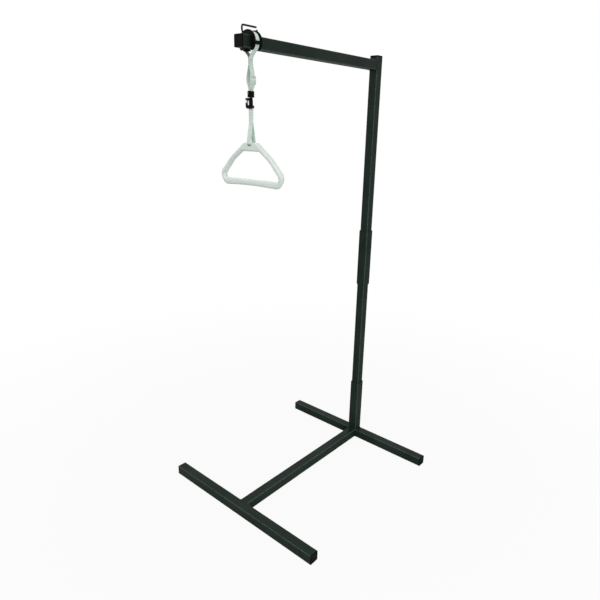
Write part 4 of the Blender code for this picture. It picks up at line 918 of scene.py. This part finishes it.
class TRAPEZE_OT_pins(bpy.types.Operator):
    """Models the steel pins, the swivel stud and the gate's spring"""
    bl_idname = "trapeze.pins"
    bl_label = "Pins, stud and spring"

    def execute(self, context):
        for node, axis in (("head_pin", "Y"), ("strap_pin", "X"), ("gate_pin", "Y")):
            steel_pin(node, axis)
        low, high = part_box("swivel_stud")
        shank_top = high.z - STUD_HEAD
        stud = rod("swivel_stud_turned", "Z", STUD_RADIUS, low.z, shank_top, 0, HANG_Y, 32)
        edit(stud)
        pick(stud, "FACE", faces_to((0, 0, 1)))
        bpy.ops.mesh.extrude_region_move(TRANSFORM_OT_translate={"value": (0, 0, 0)})
        grow = (high.x - low.x) / (2 * STUD_RADIUS)
        bpy.ops.transform.resize(value=(grow, grow, 1), center_override=(0, HANG_Y, shank_top))
        bpy.ops.mesh.extrude_region_move(TRANSFORM_OT_translate={"value": (0, 0, STUD_HEAD)})
        round_edges(stud, sharper_than(60), 0.25 * MM, 2)
        smooth(stud)
        finished(stud, "steel", "swivel_stud")
        low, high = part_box("gate_spring")
        centre = middle("gate_spring")
        coil = (high.y - low.y) / 2 - SPRING_WIRE
        steps = SPRING_TURNS * 24
        path = []
        for step in range(steps + 1):
            angle = 2 * math.pi * step / 24
            rise = low.z + SPRING_WIRE + (high.z - low.z - 2 * SPRING_WIRE) * step / steps
            path.append((centre.x + coil * math.cos(angle), centre.y + coil * math.sin(angle), rise))
        spring = wire("gate_spring_coil", path, SPRING_WIRE, 10)
        smooth(spring, 50)
        finished(spring, "steel", "gate_spring")
        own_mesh(spring)
        return {"FINISHED"}


# Mouldings

def softened(node, name, voxel, rounds):
    """A merged copy of a CAD node, remeshed and eased, so that its edges and inner corners
    get the small radii of a moulding."""
    obj = linked(name, frame["nodes"][node].data.copy())
    merge_points(obj, 0.005 * MM)
    apply_modifier(obj, "REMESH", mode="VOXEL", voxel_size=voxel, use_smooth_shade=True)
    apply_modifier(obj, "SMOOTH", factor=0.5, iterations=rounds)
    return obj


class TRAPEZE_OT_saddle(bpy.types.Operator):
    """Models the moulded saddle that carries the webbing over the arm"""
    bl_idname = "trapeze.saddle"
    bl_label = "Strap saddle"

    def execute(self, context):
        saddle = softened("strap_saddle", "strap_saddle_moulding", 0.55 * MM, 4)
        finished(saddle, "moulding", "strap_saddle")
        return {"FINISHED"}


class TRAPEZE_OT_hook(bpy.types.Operator):
    """Models the snap hook's body and its gate"""
    bl_idname = "trapeze.hook"
    bl_label = "Snap hook"

    def execute(self, context):
        hook = softened("swivel_hook", "swivel_hook_moulding", 0.28 * MM, 5)
        finished(hook, "moulding", "swivel_hook")
        gate = softened("hook_gate", "hook_gate_pressing", 0.16 * MM, 3)
        finished(gate, "steel", "hook_gate")
        return {"FINISHED"}


class TRAPEZE_OT_head(bpy.types.Operator):
    """Models the swivel head that the upper strap's pin sits in"""
    bl_idname = "trapeze.head"
    bl_label = "Swivel head"

    def execute(self, context):
        low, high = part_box("swivel_head")
        head = rounded_block("swivel_head_moulding", low, high, "Z", 2 * MM, 5)
        round_edges(head, sharper_than(60), 1.1 * MM, 4)
        floor_z = low.z + HEAD_FLOOR
        half = Vector((HEAD_POCKET / 2, WEBBING_WIDTH / 2 + SEAT_GAP, 0))
        pocket_low = Vector((0, HANG_Y, floor_z)) - half
        pocket_high = Vector((0, HANG_Y, high.z + OVERSHOOT)) + half
        tools = (rounded_block("pocket", pocket_low, pocket_high, "Z", 0.8 * MM, 3),
                 rod("bore", "Z", STUD_RADIUS + SEAT_GAP, low.z - MM, floor_z + MM, 0, HANG_Y),
                 rod("bore", "Y", HEAD_PIN_RADIUS + SEAT_GAP, low.y - MM, high.y + MM, 0, HEAD_PIN_Z, 24))
        for tool in tools:
            join_shape(head, tool, "DIFFERENCE")
        smooth(head, 40)
        finished(head, "moulding", "swivel_head")
        return {"FINISHED"}


class TRAPEZE_OT_slider(bpy.types.Operator):
    """Models the ladder slider on the upper strap"""
    bl_idname = "trapeze.slider"
    bl_label = "Strap slider"

    def execute(self, context):
        low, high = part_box("strap_slider")
        slider = rounded_block("strap_slider_moulding", low, high, "X", 2 * MM, 4)
        reach = Vector(((high.x - low.x) / 2 + MM, WEBBING_WIDTH / 2 + SEAT_GAP, SLIDER_SLOT / 2))
        for side in (-1, 1):
            centre = SLIDER + Vector((0, 0, side * (SLIDER_RAIL + SLIDER_SLOT) / 2))
            join_shape(slider, block("slot", centre - reach, centre + reach), "DIFFERENCE")
        merge_points(slider, 0.01 * MM)
        bpy.ops.mesh.dissolve_limited(angle_limit=math.radians(1))
        apply_modifier(slider, "BEVEL", width=0.9 * MM, segments=4, limit_method="ANGLE",
                       angle_limit=math.radians(40))
        smooth(slider, 40)
        finished(slider, "slider", "strap_slider")
        return {"FINISHED"}


# Webbing

def band(name, path, wide_y, start):
    """A closed band of webbing along a path, with its width along Y or X and with rounded
    selvedges. It carries its own distances along and across, in metres, for the weave. Along
    counts both ways from the path's point that is nearest to the start, so that the weave has
    no seam and only turns its slant there and at the far side."""
    half = bpy.context.scene.trapeze_fabric.thickness / 2
    edge = WEBBING_WIDTH / 2
    left = [(inward - edge, share) for inward, share in SELVEDGE] + [(-edge / 3, SELVEDGE[-1][1])]
    upper = left + [(-a, share) for a, share in reversed(left)]
    profile = upper + [(a, -share) for a, share in reversed(upper[1:-1])]
    points, places, whole = evened(path, True, 1.0 * MM)
    origin = min(range(len(points)), key=lambda index: (points[index] - start).length)
    mesh = bmesh.new()
    along_layer = mesh.verts.layers.float.new("along")
    across_layer = mesh.verts.layers.float.new("across")
    rings = []
    for index, point in enumerate(points):
        tangent = (points[(index + 1) % len(points)] - points[index - 1]).normalized()
        normal = Vector((-tangent.y, tangent.x))
        distance = abs(places[index] - places[origin])
        distance = min(distance, whole - distance)
        ring = []
        for a, share in profile:
            spot = point + normal * half * share
            vert = mesh.verts.new((spot.x, HANG_Y + a, spot.y) if wide_y else (a, HANG_Y + spot.x, spot.y))
            vert[along_layer] = distance
            vert[across_layer] = a + edge
            ring.append(vert)
        rings.append(ring)
    sides = len(profile)
    for first, second in zip(rings, rings[1:] + rings[:1]):
        for index in range(sides):
            following = (index + 1) % sides
            mesh.faces.new((first[index], first[following], second[following], second[index]))
    bmesh.ops.recalc_face_normals(mesh, faces=mesh.faces)
    data = bpy.data.meshes.new(name)
    mesh.to_mesh(data)
    mesh.free()
    obj = linked(name, data)
    take(obj)
    bpy.ops.object.shade_smooth_by_angle(angle=math.radians(60))
    return obj


def arc(radius, start, end, steps, centre_z):
    angles = [start + (end - start) * step / steps for step in range(steps + 1)]
    return [Vector((radius * math.cos(a), centre_z + radius * math.sin(a))) for a in angles]


def swung(start, end, steps):
    """Points between two places that leave and arrive straight up and down."""
    points = []
    for step in range(1, steps):
        share = step / steps
        swing = (1 - math.cos(math.pi * share)) / 2
        points.append(Vector((start.x + (end.x - start.x) * swing, start.y + (end.y - start.y) * share)))
    return points


def mirrored(path):
    return [Vector((-point.x, point.y)) for point in path]


def pin_loop(pin_z, direction):
    """Half of the loop round a pin, on the right, from its neck to its far side."""
    right = arc(PIN_LOOP_RADIUS, math.radians(20), -math.pi / 2, 12, 0)
    return [Vector((point.x, pin_z - direction * point.y)) for point in right]


def upper_course():
    """The upper strap's closed course: over the saddle, sewn together, bulging down each side
    of the slider, and round the head pin."""
    half = WEBBING_LAYER / 2
    over = arc(LOOP_RADIUS, math.pi / 2, -LEG_ANGLE, 40, ARM_Z)
    neck = Vector((half, HEAD_PIN_Z + PIN_NECK))
    inside, outside = SLIDER.x - WEAVE_OFFSET, SLIDER.x + WEAVE_OFFSET
    slot = (SLIDER_RAIL + SLIDER_SLOT) / 2
    reach = (3 * SLIDER_RAIL + 2 * SLIDER_SLOT) / 2
    weave = [(inside, reach), (inside, slot + WEAVE_OFFSET), (outside, slot - WEAVE_OFFSET),
             (outside, WEAVE_OFFSET - slot), (inside, -slot - WEAVE_OFFSET), (inside, -reach)]
    weave = [Vector((x, SLIDER.z + rise)) for x, rise in weave]
    sewn = [Vector((half, STITCH_TOP_Z)), Vector((half, STITCH_END_Z))]
    right = over + sewn + swung(sewn[1], weave[0], 12) + weave + swung(weave[-1], neck, 8) + [neck]
    widest = Vector((UPPER_BULGE, SLIDER.z))
    left = over + sewn + swung(sewn[1], widest, 14) + [widest] + swung(widest, neck, 12) + [neck]
    loop = pin_loop(HEAD_PIN_Z, -1)
    return right + loop + list(reversed(mirrored(left[1:] + loop[:-1])))


def lower_course():
    """The lower strap's closed course: round the strap pin, sewn together below it, then
    spread round the grip's top bar."""
    half = WEBBING_LAYER / 2
    bar_low = STRAP_PIN_Z - LOWER_STRAP
    neck = Vector((half, STRAP_PIN_Z - PIN_NECK))
    leave = Vector((half, STRAP_PIN_Z - LOWER_SEWN))
    beside = Vector((LOWER_SPREAD, bar_low + GRIP_TOP_BAR + LOWER_ABOVE_BAR))
    corner = Vector((LOWER_SPREAD, bar_low - SEAT_GAP - half))
    under = [corner + Vector((0, LOWER_CHAMFER)), corner - Vector((LOWER_CHAMFER, 0)), Vector((0, corner.y))]
    belly = [leave.lerp(beside, share) + Vector((LOWER_BELLY * math.sin(math.pi * share), 0))
             for share in (0.25, 0.5, 0.75)]
    right = [neck, leave] + belly + [beside] + under
    loop = list(reversed(pin_loop(STRAP_PIN_Z, 1)))
    return loop + right + list(reversed(mirrored(loop[1:] + right[:-1])))


def bar_tacks(name, body, wide_y, heights, tall):
    """Rows of close stitches across the webbing, on both of its faces. One stitch is modelled,
    repeated across by an Array, and the row is copied."""
    stitch = rod(name, "Z", STITCH_RADIUS, -tall / 2, tall / 2, 0, 0, 6)
    edit(stitch)
    for way in (-1, 1):
        pick(stitch, "FACE", faces_to((0, 0, way)))
        bpy.ops.mesh.extrude_region_move(TRANSFORM_OT_translate={"value": (0, 0, way * STITCH_DOME)})
        bpy.ops.transform.resize(value=(STITCH_TIP, STITCH_TIP, 1), center_override=(0, 0, way * tall / 2))
    bpy.ops.mesh.select_all(action="SELECT")
    lean, axis = (-STITCH_LEAN, "X") if wide_y else (STITCH_LEAN, "Y")
    bpy.ops.transform.rotate(value=lean, orient_axis=axis, center_override=(0, 0, 0))
    offset = (0, STITCH_PITCH, 0) if wide_y else (STITCH_PITCH, 0, 0)
    apply_modifier(stitch, "ARRAY", count=STITCHES, use_relative_offset=False, use_constant_offset=True,
                   constant_offset_displace=offset)
    first = -STITCH_PITCH * (STITCHES - 1) / 2
    face = (WEBBING_LAYER + bpy.context.scene.trapeze_fabric.thickness) / 2
    rows = []
    for z in heights:
        for out in (-face, face):
            place = (out, HANG_Y + first, z) if wide_y else (first, HANG_Y + out, z)
            rows.append(twin(stitch, name, Matrix.Translation(place)))
    bpy.data.objects.remove(stitch)
    take(rows[0])
    for row in rows:
        row.select_set(True)
    bpy.ops.object.join()
    rows[0].name = name
    bpy.ops.object.shade_smooth_by_angle(angle=math.radians(50))
    finished(rows[0], "thread", body=body)


class TRAPEZE_OT_upper_strap(bpy.types.Operator):
    """Models the upper strap and its stitching"""
    bl_idname = "trapeze.upper_strap"
    bl_label = "Upper strap"

    def execute(self, context):
        start = Vector((0, ARM_Z + LOOP_RADIUS))
        strap = band("upper_strap_webbing", eased_corners(upper_course(), 2), True, start)
        finished(strap, "webbing", "upper_strap")
        heights = [STITCH_END_Z + share * UPPER_STITCH for share in UPPER_TACKS]
        bar_tacks("upper_strap_stitching", "strap_upper", True, heights, UPPER_TACK_HEIGHT)
        return {"FINISHED"}


class TRAPEZE_OT_lower_strap(bpy.types.Operator):
    """Models the lower strap and its stitching"""
    bl_idname = "trapeze.lower_strap"
    bl_label = "Lower strap"

    def execute(self, context):
        start = Vector((0, STRAP_PIN_Z - LOWER_WEAVE_START))
        strap = band("lower_strap_webbing", eased_corners(lower_course(), 2), False, start)
        finished(strap, "webbing", "lower_strap")
        heights = [STRAP_PIN_Z - drop for drop in LOWER_TACKS]
        bar_tacks("lower_strap_stitching", "grip", False, heights, LOWER_TACK_HEIGHT)
        return {"FINISHED"}


# Grip

def grip_side():
    start = Vector((GRIP_HALF_TOP, 0.0))
    end = Vector((GRIP_HALF_WIDTH, -GRIP_SHOULDER_DROP))
    along = (end - start).normalized()
    outward = Vector((-along.y, along.x))
    return start, (start + end) / 2 + outward * GRIP_BOW, end, outward


def grip_outer():
    start, bow, end, _ = grip_side()
    right = [(GRIP_HALF_FOOT, -GRIP_HEIGHT, FOOT_ROUND), (end.x, end.y, SHOULDER_ROUND)]
    right += [(bow.x, bow.y, BOW_ROUND), (start.x, start.y, TOP_ROUND)]
    shares = [0.5 - 0.1 * step for step in range(11)]
    arch = [(-GRIP_HALF_FOOT * share, GRIP_ARCH * (1 - share ** 2) - GRIP_HEIGHT, 0.0) for share in shares]
    return rounded_outline(mirrored_corners(right) + arch, 14)


def grip_opening():
    """The hand opening: bowed sides, and finger bumps along the hand bar."""
    start, bow, end, outward = grip_side()
    start, bow, end = [point - outward * GRIP_SIDE for point in (start, bow, end)]
    top = -(GRIP_TOP_BAR + GRIP_SLOT_HEIGHT + GRIP_BRIDGE)
    bottom = GRIP_BAR - GRIP_HEIGHT
    top_half = start.x + (bow.x - start.x) * (top - start.y) / (bow.y - start.y)
    foot_half = bow.x + (end.x - bow.x) * (bottom - bow.y) / (end.y - bow.y) - GRIP_SIDE / 4
    right = [(foot_half, bottom, OPENING_FOOT_ROUND), (bow.x, bow.y, BOW_ROUND),
             (top_half, top, OPENING_TOP_ROUND)]
    rise = bpy.context.scene.trapeze_grip.finger_rise
    bumps = []
    for step in range(FINGER_BUMPS * POINTS_PER_BUMP + 1):
        share = step / POINTS_PER_BUMP
        swell = rise * (1 - math.cos(2 * math.pi * share)) / 2
        bumps.append(((share - FINGER_BUMPS / 2) * FINGER_PITCH, bottom + swell, 0.0))
    return rounded_outline(mirrored_corners(right) + bumps, 12)


def inset_outline(outline, distances, into_hole):
    """Moves each point of an outline into the material by its own distance."""
    pairs = zip(outline, outline[1:] + outline[:1])
    area = sum(a.x * b.y - b.x * a.y for a, b in pairs) / 2
    side = 1 if (area > 0) != into_hole else -1
    moved = []
    count = len(outline)
    for index, point in enumerate(outline):
        back = (point - outline[index - 1]).normalized()
        ahead = (outline[(index + 1) % count] - point).normalized()
        normal = (Vector((-back.y, back.x)) + Vector((-ahead.y, ahead.x))).normalized()
        spread = max(normal.dot(Vector((-back.y, back.x))), 0.5)
        moved.append(point + normal * side * distances[index] / spread)
    return moved


def rim_rings(outline, reach, depth, low, high, into_hole, parting):
    """The rings of points from the front face round an edge to the back face."""
    middle_y = (low + high) / 2
    turns = [math.pi / 2 * step / RIM_STEPS for step in range(RIM_STEPS + 1)]
    front, back = [], []
    for turn in turns:
        insets = [value * (1 - math.sin(turn)) for value in reach]
        front.append((insets, low + depth * (1 - math.cos(turn))))
        back.insert(0, (insets, high - depth * (1 - math.cos(turn))))
    for inset, offset in ((0.0, -PARTING_HALF), (-parting, 0.0), (0.0, PARTING_HALF)):
        front.append(([inset] * len(outline), middle_y + offset))
    made = []
    for insets, y in front + back:
        moved = inset_outline(outline, insets, into_hole)
        made.append([Vector((point.x, y, GRIP_TOP_Z + point.y)) for point in moved])
    return made


def extrude_rings(obj, rings):
    """In edit mode, starts with a circle on the first ring and extrudes it from ring to ring."""
    bpy.ops.mesh.select_all(action="DESELECT")
    bpy.ops.mesh.select_mode(type="EDGE")
    bpy.ops.mesh.primitive_circle_add(vertices=len(rings[0]), radius=1.0)
    mesh = bmesh.from_edit_mesh(obj.data)
    for vert, point in zip([vert for vert in mesh.verts if vert.select], rings[0]):
        vert.co = point
    bmesh.update_edit_mesh(obj.data)
    for before, after in zip(rings, rings[1:]):
        bpy.ops.mesh.extrude_edges_move()
        mesh = bmesh.from_edit_mesh(obj.data)
        where = {point.to_tuple(7): index for index, point in enumerate(before)}
        for vert in [vert for vert in mesh.verts if vert.select]:
            vert.co = after[where[vert.co.to_tuple(7)]]
        bmesh.update_edit_mesh(obj.data)


class TRAPEZE_OT_grip(bpy.types.Operator):
    """Models the triangular grip: its outline, hand opening and strap slot, ring by ring"""
    bl_idname = "trapeze.grip"
    bl_label = "Grip"

    def execute(self, context):
        settings = context.scene.trapeze_grip
        low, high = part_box("grip_handle")
        outer = grip_outer()
        opening = grip_opening()
        slot_half = WEBBING_WIDTH / 2 + SLOT_CLEARANCE
        levels = (-GRIP_TOP_BAR - GRIP_SLOT_HEIGHT, -GRIP_TOP_BAR)
        corners = [(slot_half, level, SLOT_ROUND) for level in levels]
        slot = rounded_outline(mirrored_corners(corners), 4)
        shares = [min(1.0, max(0.0, (-point.y - GRIP_TOP_BAR) / EDGE_FADE)) for point in outer]
        reach = [settings.top_edge + (settings.edge - settings.top_edge) * share for share in shares]
        deselect()
        bpy.ops.mesh.primitive_circle_add(vertices=3, radius=1.0)
        grip = settle("grip_handle_moulding")
        edit(grip)
        bpy.ops.mesh.select_all(action="SELECT")
        bpy.ops.mesh.delete(type="VERT")
        edges = ((outer, reach, settings.edge_depth, False, settings.parting),
                 (opening, [settings.edge] * len(opening), settings.edge_depth, True, settings.parting),
                 (slot, [SLOT_EDGE] * len(slot), SLOT_EDGE_DEPTH, True, 0.0))
        for outline, inset, depth, into_hole, parting in edges:
            extrude_rings(grip, rim_rings(outline, inset, depth, low.y, high.y, into_hole, parting))
        for face_y in (low.y, high.y):
            pick(grip, "EDGE", lambda e: e.is_boundary and abs(e.verts[0].co.y - face_y) < 0.01 * MM)
            bpy.ops.mesh.fill(use_beauty=True)
        bpy.ops.mesh.select_all(action="SELECT")
        bpy.ops.mesh.normals_make_consistent(inside=False)
        smooth(grip, 50)
        finished(grip, "grip", "grip_handle")
        return {"FINISHED"}


# Stage

def white_to_view(tree, shader, share):
    """Shows white to the camera, by a share, and the shader to the light that falls on the pieces."""
    seen = add_node(tree, "LightPath", "Is Camera Ray", {})
    seen = add_node(tree, "Math", "Value", [seen, share], operation="MULTIPLY")
    white = add_node(tree, "Emission", "Emission", {"Color": (1, 1, 1, 1), "Strength": 1.0})
    return add_node(tree, "MixShader", "Shader", [seen, shader, white])


def studio_floor(floor_colour):
    """Matt paper sweep: pale, even, with a slight tooth. Its far part is the background's white."""
    made, place, (tooth,) = new_material("matt_studio_paper", (3, 2))
    tree = made.node_tree
    inputs = {SHARE: tooth, FIRST: darker(floor_colour, 0.01), SECOND: solid(floor_colour)}
    base = add_node(tree, "Mix", MIXED, inputs, data_type="RGBA")
    paper = add_node(tree, "BsdfDiffuse", "BSDF", {"Color": base})
    away = add_node(tree, "VectorMath", "Value", [place], operation="LENGTH")
    share = add_node(tree, "MapRange", "Result", [away, 0.6, 2.6, 0.93, 1.0])
    add_node(tree, "OutputMaterial", None, {"Surface": white_to_view(tree, paper, share)})
    return made


def soft_lamp(name, place, aim, size, power):
    deselect()
    turn = (Vector(aim) - Vector(place)).to_track_quat("-Z", "Y").to_euler()
    bpy.ops.object.light_add(type="AREA", location=place, rotation=turn)
    lamp = bpy.context.object
    lamp.name = name
    lamp.data.shape = "SQUARE"
    lamp.data.size = size
    lamp.data.energy = power
    lamp.visible_camera = False


class TRAPEZE_OT_stage(bpy.types.Operator):
    """Sets up the floor, the lamps, the even light and the camera"""
    bl_idname = "trapeze.stage"
    bl_label = "Studio stage"

    def execute(self, context):
        scene = context.scene
        settings = scene.trapeze_stage
        deselect()
        bpy.ops.mesh.primitive_plane_add(size=60)
        floor = settle("studio_floor")
        floor.data.materials.append(studio_floor(settings.floor))
        for name, place, aim, size, setting in LAMPS:
            soft_lamp(name, place, aim, size, getattr(settings, setting))
        world = bpy.data.worlds.new("studio_light")
        world.use_nodes = True
        tree = world.node_tree
        tree.nodes.clear()
        sky = add_node(tree, "Background", "Background", {"Color": (1, 1, 1, 1), "Strength": settings.sky})
        add_node(tree, "OutputWorld", None, {"Surface": white_to_view(tree, sky, 1.0)})
        scene.world = world
        turn = Matrix.Identity(3)
        for axis, degrees in (("Z", CAMERA_YAW), ("X", 90 - CAMERA_PITCH), ("Z", CAMERA_ROLL)):
            turn = turn @ Matrix.Rotation(math.radians(degrees), 3, axis)
        deselect()
        bpy.ops.object.camera_add(location=CAMERA_PLACE, rotation=turn.to_euler())
        camera = context.object
        camera.name = "camera"
        camera.data.sensor_width = 36.0
        camera.data.lens = settings.focal / MM
        camera.data.clip_end = 100.0
        scene.camera = camera
        scene.view_settings.view_transform = "Standard"
        return {"FINISHED"}


# Add-on

OPERATORS = (
    TRAPEZE_OT_stage, TRAPEZE_OT_floor_base, TRAPEZE_OT_mast, TRAPEZE_OT_arm, TRAPEZE_OT_plugs,
    TRAPEZE_OT_wire, TRAPEZE_OT_pins, TRAPEZE_OT_saddle, TRAPEZE_OT_upper_strap,
    TRAPEZE_OT_slider, TRAPEZE_OT_head, TRAPEZE_OT_hook, TRAPEZE_OT_lower_strap, TRAPEZE_OT_grip,
)


class TRAPEZE_PT_sidebar(bpy.types.Panel):
    """Lists the pieces of the trapeze and their settings"""
    bl_idname = "TRAPEZE_PT_sidebar"
    bl_label = "Trapeze"
    bl_space_type = "VIEW_3D"
    bl_region_type = "UI"
    bl_category = "Trapeze"

    def draw(self, context):
        layout = self.layout
        for operator in OPERATORS:
            layout.operator(operator.bl_idname)
        for name in SETTINGS:
            box = layout.box()
            group = getattr(context.scene, name)
            for item in group.bl_rna.properties:
                if item.identifier not in {"rna_type", "name"}:
                    box.prop(group, item.identifier)


def register():
    for name, group in SETTINGS.items():
        bpy.utils.register_class(group)
        setattr(bpy.types.Scene, name, PointerProperty(type=group))
    for item in (*OPERATORS, TRAPEZE_PT_sidebar):
        bpy.utils.register_class(item)


def unregister():
    for item in (TRAPEZE_PT_sidebar, *reversed(OPERATORS)):
        bpy.utils.unregister_class(item)
    for name, group in SETTINGS.items():
        delattr(bpy.types.Scene, name)
        bpy.utils.unregister_class(group)


def main():
    register()
    for operator in OPERATORS:
        getattr(bpy.ops.trapeze, operator.bl_idname.split(".")[1])()
    deselect()


if __name__ == "__main__":
    main()
